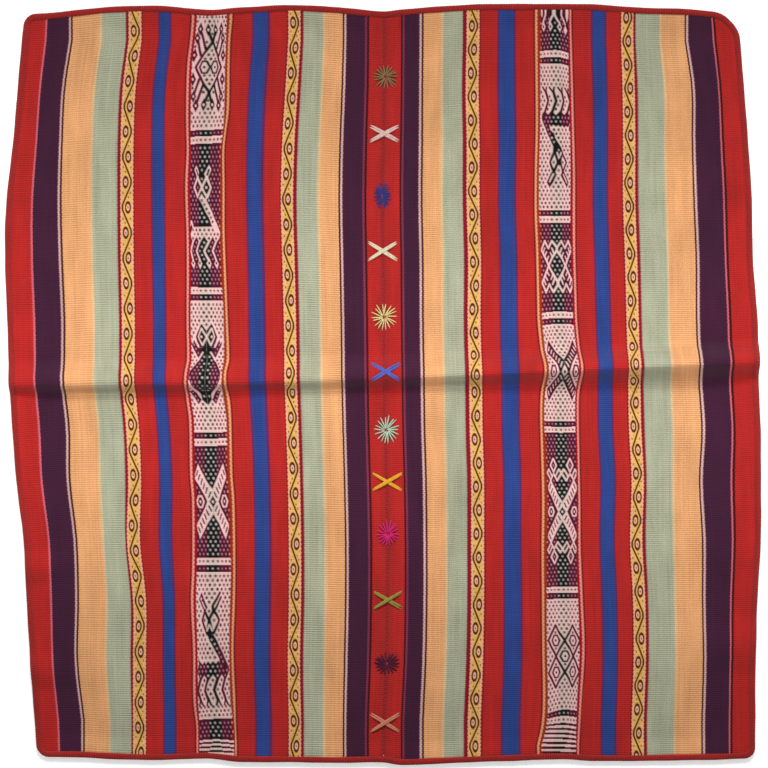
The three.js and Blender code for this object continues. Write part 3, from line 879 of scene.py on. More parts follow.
def turned_dark_animal():
    shapes = [
        patch(DARK, [(2.5, 11.4), (4.6, 12.3), (6.5, 11.4), (8.5, 12.4), (10.5, 11.4), (12.8, 12.3),
                     (14.5, 11.4), (16.2, 12.4), (16.4, 13.6), (15.6, 14.8), (14.6, 15.3),
                     (13.7, 15), (12.7, 15.5), (11.4, 14.9), (10.4, 15.4), (9.4, 14.9),
                     (8.4, 15.3), (7.3, 14.8), (6.6, 15.3), (5.3, 14.7), (5.8, 16),
                     (7.5, 16.9), (8.2, 18.1), (10.9, 20.7), (12.1, 22), (7.2, 21.6),
                     (7.3, 20.2), (6.2, 19), (4.3, 17.1), (2.2, 15), (0.8, 13.2), (1.1, 12.2)]),
        patch(DARK, [(15.6, 14.8), (16.2, 15.2), (15.8, 16.5), (15.2, 16)]),
        patch(DARK, [(7.3, 20), (10.6, 20.4), (11.9, 21.8), (10.9, 22.9), (9.6, 23.6), (8.2, 22.6),
                     (7, 21.6)]),
        line(LIGHT, [(8.8, 21.6), (9.6, 23.1), (10.7, 21.6)], 0.75),
        line(DARK, [(7.3, 21.9), (5.8, 24), (7.6, 26.2)], 1.05),
        line(DARK, [(8.4, 22.4), (9.3, 24), (7.7, 26.2)], 1.1),
        line(DARK, [(11.6, 22.2), (13.7, 24), (11.7, 26.3)]),
        line(DARK, [(10.8, 22.6), (10.2, 24), (11.5, 26.2)]),
        lozenge(DARK, 9.8, 24, 0.9, 1.0),
        patch(DARK, [(7.5, 25.7), (8.7, 27), (7.2, 29.1), (5.7, 30.3), (4.2, 28.9), (6.3, 26.8)]),
        line(LIGHT, [(7.4, 26.9), (5.7, 28.8)], 0.75),
        patch(DARK, [(11.6, 25.7), (12.5, 26.4), (15.1, 29), (14, 30.3), (10.4, 27.2)]),
        line(LIGHT, [(12, 27), (13.9, 29)], 0.7),
    ]
    for top in (2.5, 6.5, 10.5, 14.5):
        shapes.append(line(DARK, [(top + 0.9, 6.9), (top + 2.2, 9), (top, 12.2)], 1.25))
        shapes.append(line(DARK, [(top - 1.1, 5.8), (top + 0.9, 7), (top + 1.1, 5.8)], 0.9))
    return shapes


# %% [markdown]
# The other figures are made of zigzags and crossing bars: a great diamond between combs, a
# winged diamond, crossing bars cut by slots with a ring on either side, a crown over a diamond,
# and a lattice of five diamonds. Each is drawn once and mirrored.

# %% Figures: diamonds and crossing bars
def great_diamond_figure():
    shapes = [line(DARK, [(8.5, 6.9), (2.7, 12.9)], 1.1, "xy")]
    for across, down, wide, high, stem in (
        (3.3, 3.8, 1.5, 1.6, [(3.8, 4.6), (6.3, 8.6)]),
        (6.9, 4.0, 1.2, 1.6, [(7.2, 4.6), (8.5, 7.0)]),
        (2.1, 6.0, 1.4, 1.5, [(2.5, 6.8), (4.5, 10.2)]),
        (1.6, 10.1, 1.5, 1.7, None),
    ):
        if stem:
            shapes.append(line(DARK, stem, 1.1, "xy"))
        shapes.append(lozenge(DARK, across, down, wide, high, "xy"))
        shapes.append(dot(LIGHT, across, down, "xy"))
    return shapes + ring(DARK, 6.4, 13, 1.9, 1.4, "x")


def winged_figure():
    wing = [(1.0, 10.0), (1.8, 10.9), (2.5, 9.7), (4.6, 11.7), (8.5, 11.6), (8.5, 13.4), (6.9, 12.8),
            (4.5, 14.3), (1.0, 10.9)]
    body = [(8.5, 12.6), (7.1, 12.8), (1.0, 18.4), (0.8, 20.2), (6.6, 25.6), (6.5, 26.9), (8.5, 28.3)]
    strip = [(0.7, 23.5), (1.6, 24.5), (2.6, 23.7), (6.4, 26.9), (4.6, 28.0), (0.9, 24.6)]
    return [
        patch(DARK, [(8.5, 7.5), (6.5, 5.7), (3.5, 9.0), (5.2, 11.6), (8.5, 11.8)], "x"),
        line(LIGHT, [(6.5, 6.9), (5.0, 9.0), (6.8, 11.1), (8.5, 9.0), (6.5, 6.9)], 0.75, "x"),
        dot(LIGHT, 6.5, 9.0, "x"),
        patch(DARK, wing, "x"),
        line(LIGHT, [(3.3, 9.8), (5.0, 11.3)], 0.7, "x"),
        patch(DARK, body, "x"),
        line(LIGHT, [(6.9, 12.9), (4.6, 15.0)], 0.8, "x"),
        line(LIGHT, [(0.7, 20.9), (4.9, 25.2)], 0.85, "x"),
        patch(DARK, strip, "x"),
    ]


def hatched_cross_figure():
    arm = [(2.5, 4.4), (8.5, 10.35), (8.5, 13), (6.3, 13), (4.7, 11.3), (0.9, 8.1), (0.9, 7.1)]
    cuts = [(2.1, 6.7), (3.1, 7.7), (4.15, 8.7), (5.2, 9.7), (6.25, 10.6), (7.3, 11.5)]
    return [
        patch(LIGHT, arm, "xy"),
        *slots(DARK, cuts),
        lozenge(DARK, 8.5, 13, 1.3, 1.3),
        dot(LIGHT, 8.5, 13),
        *ring(LIGHT, 2.8, 13, 1.7, 1.2, "x"),
    ]


def crown_figure():
    shapes = [
        line(LIGHT, [(2.5, 4.9), (0.8, 6.9), (0.8, 7.3), (4.5, 11)], 0.95, "xy"),
        line(LIGHT, [(2.5, 4.9), (4.5, 6.8), (6.5, 4.9), (8.5, 6.7), (8.5, 7.3), (4.5, 11)], 0.95, "xy"),
    ]
    for start, end in (
        ((1.6, 7.9), (2.5, 6.7)), ((2.4, 8.7), (3.5, 7.7)), ((3.5, 9.7), (4.5, 8.8)),
        ((7.3, 8.1), (6.3, 6.7)), ((6.5, 8.9), (5.5, 7.9)),
    ):
        shapes.append(line(LIGHT, [start, end], 0.7, "xy"))
    return shapes


def double_crown_figure():
    arm = [(2.6, 12.5), (8.5, 18.4), (8.5, 21), (6.6, 21), (5.6, 20), (1.0, 15.4), (0.8, 14.3)]
    cuts = [(2.2, 14.4), (3.1, 15.6), (3.95, 16.5), (4.95, 17.5), (6.0, 18.4), (7.2, 19.3)]
    return [
        line(LIGHT, [(4.5, 7.2), (6.2, 9), (4.5, 10.7), (2.8, 9), (4.5, 7.2)], 0.85, "xy"),
        line(LIGHT, [(1.7, 10.0), (0.8, 10.9), (2.6, 12.8), (4.5, 11.1), (6.5, 12.9)], 0.85, "xy"),
        line(LIGHT, [(6.5, 12.9), (8.5, 11.0), (7.5, 10.0), (5.6, 11.9)], 0.85, "xy"),
        line(LIGHT, [(1.7, 10.0), (3.5, 11.9)], 0.8, "xy"),
        patch(LIGHT, arm, "xy"),
        *slots(DARK, cuts),
        lozenge(DARK, 8.5, 21, 1.4, 1.3),
        dot(LIGHT, 8.5, 21),
        *ring(LIGHT, 2.5, 21, 1.65, 1.17, "x"),
    ]


def lattice_figure():
    corners = [(0.6, 11), (4.6, 7.1), (16.4, 19), (12.5, 23), (0.6, 11)]
    return [
        line(DARK, corners, 1.05, "x"),
        *ring(DARK, 4.6, 11, 1.85, 1.3, "x"),
        *ring(DARK, 8.5, 15, 1.85, 1.3),
        *ring(DARK, 4.6, 19, 1.85, 1.3, "x"),
    ]


def leg_ends_figure():
    shapes = [
        patch(LIGHT, [(0.1, -1), (2.3, -1), (1.2, 0.6), (0.3, -0.3)]),
        line(LIGHT, [(4.2, -1), (2.6, 0.7), (1.7, 2.1)]),
        line(LIGHT, [(7.2, -1), (8.0, -0.2), (6.8, 0.7), (5.7, 2.0)]),
        line(LIGHT, [(9, -1), (8.0, -0.2), (9.1, 0.9), (10.6, 1.9)]),
        line(LIGHT, [(10.3, -1), (12.4, 0.6), (14, 2)]),
        patch(LIGHT, [(15.2, -1.2), (16.2, -0.2), (15.2, 1.4), (14.2, 0)]),
        lozenge(LIGHT, 14.2, 3.4, 1.2, 1.25),
    ]
    for across, down in ((2.3, 2.85), (6.3, 2.9), (10.7, 3.0)):
        shapes.append(lozenge(LIGHT, across, down, 1.25, 1.3))
        shapes.append(dot(DARK, across, down))
    return shapes


print("animal is drawn with", len(animal_figure()), "shapes")

# %% [markdown]
# A band is a list of blocks from the top end to the bottom one. Plain bars, a dark one and a
# light one, part the blocks. Handwoven rows are not all alike, so a block says at which heights
# some of its rows lie, and those between share the length evenly. Places on the cloth are
# counted in steps of 0.75 mm, across from 383 at the seam and down from 384.5 at the middle.

# %% The two bands, block by block
STEP = 0.75
SEAM_ACROSS = 383
MIDDLE_DOWN = 384.5


def across_mm(steps):
    return (np.asarray(steps, float) - SEAM_ACROSS) * STEP


def up_mm(steps):
    return (MIDDLE_DOWN - np.asarray(steps, float)) * STEP


def block(end, rows, ground, figure=(), shift=0, centre=None, known=(), invert=False, plain=False):
    return {
        "end": end, "rows": rows, "ground": ground, "figure": figure, "shift": shift,
        "centre": centre, "known": list(known), "invert": invert, "plain": plain,
    }


def bar(end, tone):
    return block(end, 2, tone, shift=int(tone))


def fringe_of_bars(start, end, count, first_tone):
    """Thin plain bars of alternate tones, where the weaver ran out of room for a figure."""
    bars = []
    for k in range(count):
        tone = first_tone if k % 2 == 0 else 1 - first_tone
        bars.append(block(start + (end - start) * (k + 1) / count, 1, tone, plain=True))
    return bars


LEFT_BAND = [
    block(130, 28, LIGHT, great_diamond_figure(), 1, 13),
    bar(136.4, DARK),
    bar(143.6, LIGHT),
    block(287.4, 34, DARK, animal_figure(), 0, known=[(8.1, 179.5), (16.5, 215.5), (25.1, 251.5)]),
    bar(294, LIGHT),
    bar(300.5, DARK),
    block(432.4, 35, LIGHT, winged_figure()),
    bar(438.7, DARK),
    bar(445.8, LIGHT),
    block(557.5, 25.85, DARK, hatched_cross_figure(), 0, 13,
          [(1, 449.6), (8, 478.2), (13, 501.7), (17, 519.8), (22, 541.4), (25, 554)]),
    bar(564.8, LIGHT),
    bar(572.1, DARK),
    block(718.5, 33, LIGHT, upright_dark_animal(), 0,
          known=[(1, 575.6), (3, 584.9), (7, 601.8), (11, 620.1), (14, 635.1), (19, 657.3),
                 (25, 684.6), (27, 693.7), (30, 706.6), (32, 714.8)]),
    block(739.2, 5, DARK),
    *fringe_of_bars(739.2, 754, 7, LIGHT),
]
RIGHT_BAND = [
    block(50.3, 8.9, DARK, leg_ends_figure(), 1, known=[(0, 15), (5, 35), (8, 47)]),
    bar(57, LIGHT),
    bar(63.6, DARK),
    block(210, 35.75, LIGHT, turned_dark_animal(), 1,
          known=[(1, 67.6), (13, 117.6), (22, 154.3), (34, 203.1)]),
    bar(216.5, DARK),
    bar(222.8, LIGHT),
    block(311.7, 21.8, DARK, crown_figure(), 0, 11,
          [(1, 225.9), (5, 241.3), (9, 257.1), (13, 274.4), (17, 291.6), (21, 308.4)]),
    bar(317.9, LIGHT),
    bar(324.1, DARK),
    block(421.2, 26.8, LIGHT, hatched_cross_figure(), 1, 13,
          [(1, 326.9), (5, 341.5), (9, 356.3), (13, 371.2), (17, 385), (21, 399.1), (26, 418.1)],
          invert=True),
    bar(426.9, DARK),
    bar(432.7, LIGHT),
    block(586.5, 40.8, DARK, double_crown_figure(), 0, 21,
          [(1, 435.5), (6, 453.8), (13, 480.8), (21, 511.6), (28, 537.8), (33, 556.2), (40, 583.4)]),
    bar(592.3, LIGHT),
    bar(598.6, DARK),
    block(709.2, 28.75, LIGHT, lattice_figure(), 1, 15,
          [(1, 601.6), (7, 624.5), (11, 640.2), (15, 656), (19, 672), (24, 690.3), (28, 706.2)]),
    bar(715.8, DARK),
    bar(722.6, LIGHT),
    *fringe_of_bars(722.6, 755.8, 14, DARK),
]
print("blocks:", len(LEFT_BAND), "and", len(RIGHT_BAND))

# %% [markdown]
# To find the tone at a point, the sketch is read in order: the ground first, and then each patch,
# line or dot, so that a later one lies over an earlier one. A warp place is half as wide as a
# pebble row is long, so distances count two for each row. Pebble dots are added last. Place, row
# and the block's own shift are added up: an odd sum gives a light dot on a dark ground, an even
# one a dark dot on a light ground. Dots are left out close to a line or the edge of a patch,
# because there the yarn has no room to come up.

# %% Read a sketch
ROW_IN_PLACES = 2.0


def mirrored_shapes(block_row):
    """All the shapes of a block with their mirrored copies, in places and rows."""
    shapes = []
    for shape in block_row["figure"]:
        ways = [(False, False)]
        if "x" in shape["mirror"]:
            ways += [(True, down) for _, down in ways]
        if "y" in shape["mirror"]:
            ways += [(across, True) for across, _ in ways]
        for flip_across, flip_down in ways:
            points = np.array(shape["points"], float)
            if flip_across:
                points[:, 0] = 2 * MIDDLE - points[:, 0]
            if flip_down:
                points[:, 1] = 2 * block_row["centre"] - points[:, 1]
            tone = 1 - shape["tone"] if block_row["invert"] else shape["tone"]
            shapes.append({**shape, "points": points, "tone": tone})
    return shapes


def distance_to_line(u, v, points):
    """Distance in warp places to a line through points."""
    nearest = np.full(u.shape, 1e9)
    for start, end in zip(points[:-1], points[1:]):
        across = end[0] - start[0]
        down = (end[1] - start[1]) * ROW_IN_PLACES
        size = across**2 + down**2 + 1e-9
        du = u - start[0]
        dv = (v - start[1]) * ROW_IN_PLACES
        t = np.clip((du * across + dv * down) / size, 0, 1)
        nearest = np.minimum(nearest, np.hypot(du - t * across, dv - t * down))
    return nearest


def inside_patch(u, v, points):
    inside = np.zeros(u.shape, bool)
    for (u0, v0), (u1, v1) in zip(points, np.roll(points, -1, axis=0)):
        crosses = (v0 > v) != (v1 > v)
        slope = (u1 - u0) / (v1 - v0) if v1 != v0 else 0.0
        inside ^= crosses & (u < u0 + slope * (v - v0))
    return inside


def sketch_tone(u, v, block_row, soft=0.26):
    """Tone of the sketch at points, and how far they are from a line or the edge of a patch."""
    tone = np.full(u.shape, block_row["ground"], float)
    clear = np.full(u.shape, 1e9)
    for shape in mirrored_shapes(block_row):
        points = shape["points"]
        if shape["kind"] == "patch":
            closed = np.vstack([points, points[:1]])
            distance = distance_to_line(u, v, closed)
            signed = np.where(inside_patch(u, v, points), -distance, distance)
            share = 1 - smooth_step(-soft, soft, signed)
            clear = np.minimum(clear, distance)
        elif shape["kind"] == "line":
            distance = distance_to_line(u, v, points)
            edge = distance - shape["width"] / 2
            share = 1 - smooth_step(-soft, soft, edge)
            clear = np.minimum(clear, np.abs(edge) + 0.2)
            clear = np.where(edge < 0, 0.0, clear)
        else:
            distance = np.hypot((u - points[0, 0]) / 0.5, (v - points[0, 1]) / 0.38)
            share = 1 - smooth_step(0.55, 1.25, distance)
            clear = np.minimum(clear, distance * 0.5 - 0.6)
        tone = tone + share * (shape["tone"] - tone)
    return tone, clear


def band_tone(u, v, block_row):
    """Tone at points of a block, v in its own rows, with the pebble dots in."""
    tone, _ = sketch_tone(u, v, block_row)
    if block_row["plain"]:
        return tone
    row = np.round(v)
    for step in (-1, 0, 1):
        column = np.floor(u) + step
        centre_u = column + 0.5
        under, clear = sketch_tone(centre_u, row, block_row)
        odd = np.mod(column + row + block_row["shift"], 2) == 1
        shown = np.where(under < 0.5, odd, ~odd) & (row > 0.4) & (row < block_row["rows"] - 0.4)
        chance = np.mod(np.sin(column * 12.99 + row * 78.23) * 43758.5, 1)
        size = np.hypot((u - centre_u) / (0.52 + 0.14 * under), (v - row) / (0.33 + 0.1 * under))
        share = np.where(shown & (clear > 0.66), 1 - smooth_step(0.5, 1.2, size), 0)
        strength = np.where(under < 0.5, 0.6 + 0.35 * chance, 0.75 + 0.25 * chance)
        tone = tone + share * strength * (1 - under - tone)
    return tone


print("tone of a dark bar:", float(sketch_tone(np.array([3.2]), np.array([1.0]), bar(0, DARK))[0][0]))

# %% [markdown]
# The band's cloth is a strip of its own over the panel: three columns of points to a warp place
# and three rows to a pick, raised where a yarn floats. Its colour is stored at the points. The
# dark yarn is plum at the sides and black in the middle four or five places, and the light one
# is pale pink, so the same tone gives different colours across the band. The middle yarns are
# thicker, which makes their places wider. A pale line edges the band on both sides, and a dark
# one lies outside each. One chart holds where the pale lines, the edges and the axis of a band
# lie, height by height, and another how far its rows lean down at the left and at the right.

# %% Charts of the bands
BAND_DYES = {
    "plum": dye(84, 14, 44),
    "black": dye(22, 8, 12),
    "edge_red": dye(136, 18, 34),
    "pale": dye(246, 200, 196),
    "grey": dye(228, 202, 188),
    "mauve": dye(206, 134, 160),
    "ash": dye(206, 200, 192),
    "brown": dye(88, 34, 36),
    "salmon_line": dye(246, 152, 138),
    "orange_line": dye(244, 162, 120),
    "gap_red": dye(158, 26, 34),
    "gap_brown": dye(154, 56, 26),
    "dark_line": dye(104, 12, 12),
}
BAND_LINES = {
    -1: [
        (20, 193.2, 197.4, 212.5, 226.8, 231.4), (42, 191.2, 195, 213.2, 226.1, 229.3),
        (66, 188.5, 192.1, 210.5, 225.1, 228.5), (110, 187.3, 191, 208.4, 224.3, 227.8),
        (134, 187.6, 190.8, 205.6, 222.8, 224.8), (150, 188, 191, 204.8, 221, 223.2),
        (187, 186.5, 190.4, 204.4, 220.8, 223.5), (234, 187.8, 190.8, 204.2, 220.6, 223.6),
        (276, 188, 191.3, 204.9, 221.8, 225.1), (321, 187.8, 190.7, 206.7, 223.8, 226.8),
        (360, 188.3, 192, 206.9, 223.8, 228.1), (373, 186.5, 190.1, 205.6, 222.3, 225.8),
        (385, 186.1, 189.3, 205.4, 222.1, 226), (402, 188, 191.8, 208.2, 224, 229),
        (420, 190.3, 194.3, 210.5, 226.3, 230.2), (475, 191.4, 195.3, 211.4, 227.8, 231.4),
        (500, 193.2, 197, 213.2, 229.5, 233.3), (568, 193.4, 197.2, 213.2, 231, 234.3),
        (600, 192.2, 196.4, 211.5, 230.1, 233.9), (650, 194.3, 197.8, 212.4, 229.3, 232.4),
        (700, 194.7, 198.4, 213.5, 230.5, 234.3), (725, 197.4, 199.8, 215.6, 233.6, 234.9),
        (745, 197.8, 199.8, 217, 234.3, 235.8),
    ],
    1: [
        (20, 536, 540, 555, 568.2, 569.9), (75, 536.5, 540.2, 555.9, 568.4, 571.4),
        (125, 536.8, 540.2, 556, 569.6, 572.6), (175, 535.8, 539, 556.3, 570.2, 573.8),
        (213, 535.7, 539, 556.4, 570, 573.8), (250, 537.1, 540.4, 557, 570.7, 574),
        (300, 538.2, 541.4, 558.2, 572.7, 575.3), (321, 538.7, 542.3, 558.7, 573.2, 576),
        (350, 541.7, 545, 561.5, 576.1, 578.7), (370, 544.8, 548.2, 563.5, 577.8, 581),
        (395, 541.7, 545, 560.8, 575.2, 577.8), (420, 541.2, 544.2, 560.4, 574.9, 577.5),
        (450, 542.1, 545.4, 561, 575.8, 578), (500, 543.1, 547, 561.9, 576.7, 579),
        (550, 542.6, 546.5, 562.7, 576.3, 579.4), (600, 543, 546.7, 563.5, 577.8, 581.5),
        (650, 543.3, 547.1, 564.8, 579.2, 583.3), (700, 544, 547.9, 564.3, 577, 580.4),
        (725, 542.4, 546.5, 563, 576, 579), (745, 538.1, 541.5, 558.5, 575.8, 577.7),
    ],
}
ROW_LEAN = {
    -1: [
        (14, 0, 0), (110, 0.3, -0.3), (140, 1, -1), (165, 0, 0), (420, 0, 0), (438, 0.2, -0.7),
        (502, 0, -0.8), (540, 0, 0), (600, 0.1, -0.3), (640, 0.3, -0.9), (671, 0.6, -1.1),
        (694, 1.6, -0.7), (718, 1.2, -0.7), (740, 1.3, 1.3), (754, 0.6, 0.8),
    ],
    1: [
        (14, 0.6, 3), (50, 1.1, 3.4), (80, 0, 2), (130, 0, 0.6), (215, 0, 0), (290, 0.6, 0.4),
        (318, 1.3, 0.6), (350, 1, 0.4), (395, 0, 0), (410, -0.5, -0.4), (455, 0, 0), (511, 0, 0),
        (560, 0.9, 0), (600, 0.6, 0), (640, 0.2, 0.5), (672, 1.2, -0.6), (690, 2.8, 0.3),
        (710, 4, 1.3), (722, 2, 1.5), (733, 0, 1.7), (754, 0, 0.5),
    ],
}
BAND_WARP = {-1: -133.4, 1: 128.7}
BAND_FIRST = {-1: 1.0, 1: 0.0}
PLACES = 16
PALE_LINE = 1.8
DARK_LINE = 2.8
OUTER_PLACE = 2.1


def mix(first, second, share):
    share = np.asarray(share)[..., None]
    return first * (1 - share) + second * share


def wide_middle(u):
    """Places from the axis, with the four or five middle ones wider than the rest."""
    away = u - MIDDLE
    return away + 0.8 * np.clip(away / 2.2, -1, 1)


def band_across(u, lines, first):
    """Where the places u lie across, in steps, on rows whose five lines are given."""
    out_left, edge_left, axis, edge_right, out_right = [lines[:, k:k + 1] for k in range(5)]
    last = first + PLACES
    left_share = wide_middle(u) / wide_middle(np.array(first))
    right_share = wide_middle(u) / wide_middle(np.array(last))
    left_half = axis + left_share * (edge_left - axis)
    right_half = axis + right_share * (edge_right - axis)
    x = np.where(u < MIDDLE, left_half, right_half)
    x = np.where(u < first, edge_left + (first - u) / PALE_LINE * (out_left - edge_left), x)
    x = np.where(u > last, edge_right + (u - last) / PALE_LINE * (out_right - edge_right), x)
    x = np.where(u < first - PALE_LINE, out_left - (first - PALE_LINE - u) * OUTER_PLACE, x)
    return np.where(u > last + PALE_LINE, out_right + (u - last - PALE_LINE) * OUTER_PLACE, x)


# %% Colours of a band
def band_colours(u, tone, base, pick, first, side, random):
    """Colour at points of a band from the tone there and from the tone without dots."""
    middle = 1 - smooth_step(2.0, 2.8, np.abs(u - MIDDLE))
    on_red = smooth_step(15.9, 16.1, u) if side < 0 else 1 - smooth_step(0.9, 1.1, u)
    ground_dark = mix(BAND_DYES["plum"], BAND_DYES["black"], middle)
    ground_dark = mix(ground_dark, BAND_DYES["edge_red"], on_red)
    ground_light = mix(BAND_DYES["pale"], BAND_DYES["grey"], 0.6 * middle)
    light_dot = mix(BAND_DYES["mauve"], BAND_DYES["ash"], middle)
    light_dot = mix(light_dot, BAND_DYES["salmon_line"], on_red)
    dark_dot = mix(BAND_DYES["brown"], BAND_DYES["black"] * 1.6, middle)
    dark = mix(ground_dark, dark_dot, np.clip(base, 0, 1))
    light = mix(light_dot, ground_light, np.clip(base, 0, 1))
    colour = mix(dark, light, np.clip(tone, 0, 1))
    yarns = random.normal(1, 0.05, 60)[np.clip((2 * u + 10).astype(int), 0, 59)]
    rows = random.normal(1, 0.03, 900)[np.clip(pick.astype(int), 0, 899)]
    colour = colour * (yarns * rows)[..., None]
    beads = np.cos(np.pi * pick)
    gaps = ("gap_red", "gap_brown") if side < 0 else ("gap_brown", "gap_red")
    pale_yarns = ("salmon_line", "orange_line") if side < 0 else ("orange_line", "salmon_line")
    outside = (first - u, u - first - PLACES)
    for away, gap, pale_yarn in zip(outside, gaps, pale_yarns):
        colour = mix(colour, BAND_DYES[gap], smooth_step(-0.15, 0.2, away + 0.14 * beads))
        colour = mix(colour, DYES["red"], smooth_step(2.25, 2.5, away))
        dark_line = 1 - smooth_step(0.2, 0.55, np.abs(away - DARK_LINE))
        colour = mix(colour, BAND_DYES["dark_line"], 0.85 * dark_line)
        pale_line = 1 - smooth_step(0.3, 0.68, np.abs(away + 0.084 * beads - PALE_LINE))
        colour = mix(colour, BAND_DYES[pale_yarn] * (1 + 0.12 * beads)[..., None], pale_line)
    return colour


# %% Weave a figured band
BAND_LIFT = 0.14
BAND_MARGIN = 10 / 3
BAND_COLUMNS = 69
BAND_ROWS_IN_PICK = 3


def block_places(block_row, leaning, start, end, height_line, run):
    """The row numbers of a block at lengths along the band, from the rows with a known place."""
    known = [
        (place, float(np.interp(-up_mm(at), height_line, run))) for place, at in block_row["known"]
    ]
    if not known or known[0][0] > 0:
        known = [(0, start)] + known
    known.append((block_row["rows"], end))
    return np.interp(leaning, [at for _, at in known], [place for place, _ in known])


def weave_band(name, side, blocks, material, seed):
    random = np.random.default_rng(seed)
    _, y_line, run = lay_warp(BAND_WARP[side])
    places = np.linspace(0, 1, PICKS[side] * BAND_ROWS_IN_PICK + 1)
    lengths = places * run[-1]
    y_at = np.interp(lengths, run, y_line)
    down = MIDDLE_DOWN - y_at / STEP
    first = BAND_FIRST[side]
    u = np.linspace(first - BAND_MARGIN, first + PLACES + BAND_MARGIN, BAND_COLUMNS)
    grid_u, grid_l = np.meshgrid(u, lengths)
    chart = np.array(BAND_LINES[side], float)
    lines = np.stack([curve_through(chart[:, 0], chart[:, k], down) for k in range(1, 6)], axis=1)
    x = across_mm(band_across(grid_u, lines, first))
    y = np.repeat(y_at[:, None], len(u), axis=1)
    points = np.stack([x, y, cloth_height(x, y)], axis=-1)
    normals = cloth_normal(x, y)
    lean = np.array(ROW_LEAN[side], float)
    lean_left = curve_through(lean[:, 0], lean[:, 1], down)[:, None]
    lean_right = curve_through(lean[:, 0], lean[:, 2], down)[:, None]
    away = np.clip(np.abs(grid_u - MIDDLE) / 8, 0, 1) ** 1.5
    leaning = grid_l - STEP * away * np.where(grid_u < MIDDLE, lean_left, lean_right)
    tone = np.zeros(x.shape)
    base = np.zeros(x.shape)
    sway = 0.1 * np.sin(grid_l * 0.11) + 0.07 * np.sin(grid_l * 0.37 + grid_u)
    start = 0.0
    for k, row in enumerate(blocks):
        end = float(np.interp(-up_mm(row["end"]), -y_line, run))
        v = block_places(row, leaning, start, end, -y_line, run)
        mine = (leaning >= start) & (leaning < end)
        if k == 0:
            mine |= leaning < start
        if k == len(blocks) - 1:
            mine |= leaning >= end
        tone[mine] = band_tone((grid_u + sway)[mine], v[mine], row)
        base[mine] = sketch_tone((grid_u + sway)[mine], v[mine], row)[0]
        start = end
    pick = places[:, None] * PICKS[side] + 0 * grid_u
    colour = band_colours(grid_u, tone, base, pick, first, side, random)
    outside = np.maximum(first - grid_u, grid_u - first - PLACES)
    ribs = np.cos(2 * np.pi * pick)
    relief = BAND_LIFT + 0.07 * tone + 0.04 * ribs
    relief = relief + 0.12 * (1 - smooth_step(0.3, 0.7, np.abs(outside - PALE_LINE)))
    edge = np.minimum(grid_u - u[0], u[-1] - grid_u)
    relief = relief * smooth_step(-0.2, 1.0, edge) - 0.1 * (edge < 0.1)
    top = points + normals * (CLOTH_THICKNESS / 2 + relief)[..., None]
    place = np.stack([x, pick, 0 * x], axis=-1)
    return make_piece(
        name, top.reshape(-1, 3), [grid_faces(*x.shape)], material,
        {"cloth": place.reshape(-1, 3)}, {"dye": colour.reshape(-1, 3)},
    )


def make_band_material(name):
    material, tree, shader, warp, pick = start_wool(name)
    stored = tree.nodes.new("ShaderNodeVertexColor")
    stored.layer_name = "dye"
    finish_wool(tree, shader, stored.outputs["Color"], warp, pick, 0.12, 0.12, 0.16, 0.35)
    return material


BAND_WOOL = make_band_material("figured_band_wool")
band_left = weave_band("left_figured_band", -1, LEFT_BAND, BAND_WOOL, 11)
band_right = weave_band("right_figured_band", 1, RIGHT_BAND, BAND_WOOL, 12)

# %% [markdown]
# Four narrow bands carry a chain: small rings on yellow that stand by turns on the left and on
# the right, with one brown line that winds between them. The line is a triangle wave with its
# corners cut flat, so one formula draws a band of any length.

# %% Weave the chain bands
CHAIN_DYES = {
    "yellow": dye(236, 186, 98),
    "peach": dye(250, 178, 140),
    "brown": dye(84, 34, 14),
    "inner": dye(244, 186, 150),
    "edge": dye(140, 28, 34),
}
CHAINS = [
    ("outer_left_chain", -1, -191.7, 9.9, 18.95, 2.5),
    ("inner_left_chain", -1, -71.1, 9.4, 18.95, 8.2),
    ("inner_right_chain", 1, 67.7, 9.9, 17.7, 4.0),
    ("outer_right_chain", 1, 185.8, 9.4, 17.7, 12.0),
]


def chain_tone(across, along, half, period):
    """Share of brown and share of ring heart at places across and along a chain band."""
    phase = along / period
    triangle = 1 - 2 * np.abs(np.mod(phase, 2) - 1)
    wave = 0.6 * half * np.clip(1.25 * triangle, -1, 1)
    slope = 2.5 * 0.6 * half / period
    line_distance = np.abs(across - wave) / math.sqrt(1 + slope**2)
    brown = 1 - smooth_step(0.42, 0.85, line_distance)
    number = np.round(phase)
    ring_side = np.where(np.mod(number, 2) == 0, 1, -1)
    centre = 0.22 * half * ring_side
    radius = np.hypot((across - centre) / 1.75, (along - number * period) / 3.7)
    brown = np.maximum(brown, 1 - smooth_step(0.2, 0.4, np.abs(radius - 1)))
    heart = 1 - smooth_step(0.7, 0.9, radius)
    middle_dot = np.hypot((across - centre) / 0.5, (along - number * period) / 0.8)
    brown = np.maximum(brown, 0.8 * (1 - smooth_step(0.6, 1.3, middle_dot)))
    row = np.round(along / 3.2)
    column = np.round((across - np.mod(row, 2) * 1.4) / 2.8)
    dot_across = column * 2.8 + np.mod(row, 2) * 1.4
    away = np.hypot((across - dot_across) / 0.55, (along - row * 3.2) / 0.95)
    free = (radius > 1.75) & (line_distance > 1.3) & (np.abs(across) < half - 1.3)
    dots = np.where(free, 0.85 * (1 - smooth_step(0.5, 1.2, away)), 0)
    return np.maximum(brown, dots), heart


CHAIN_COLUMNS = 26
CHAIN_MARGIN = 0.7


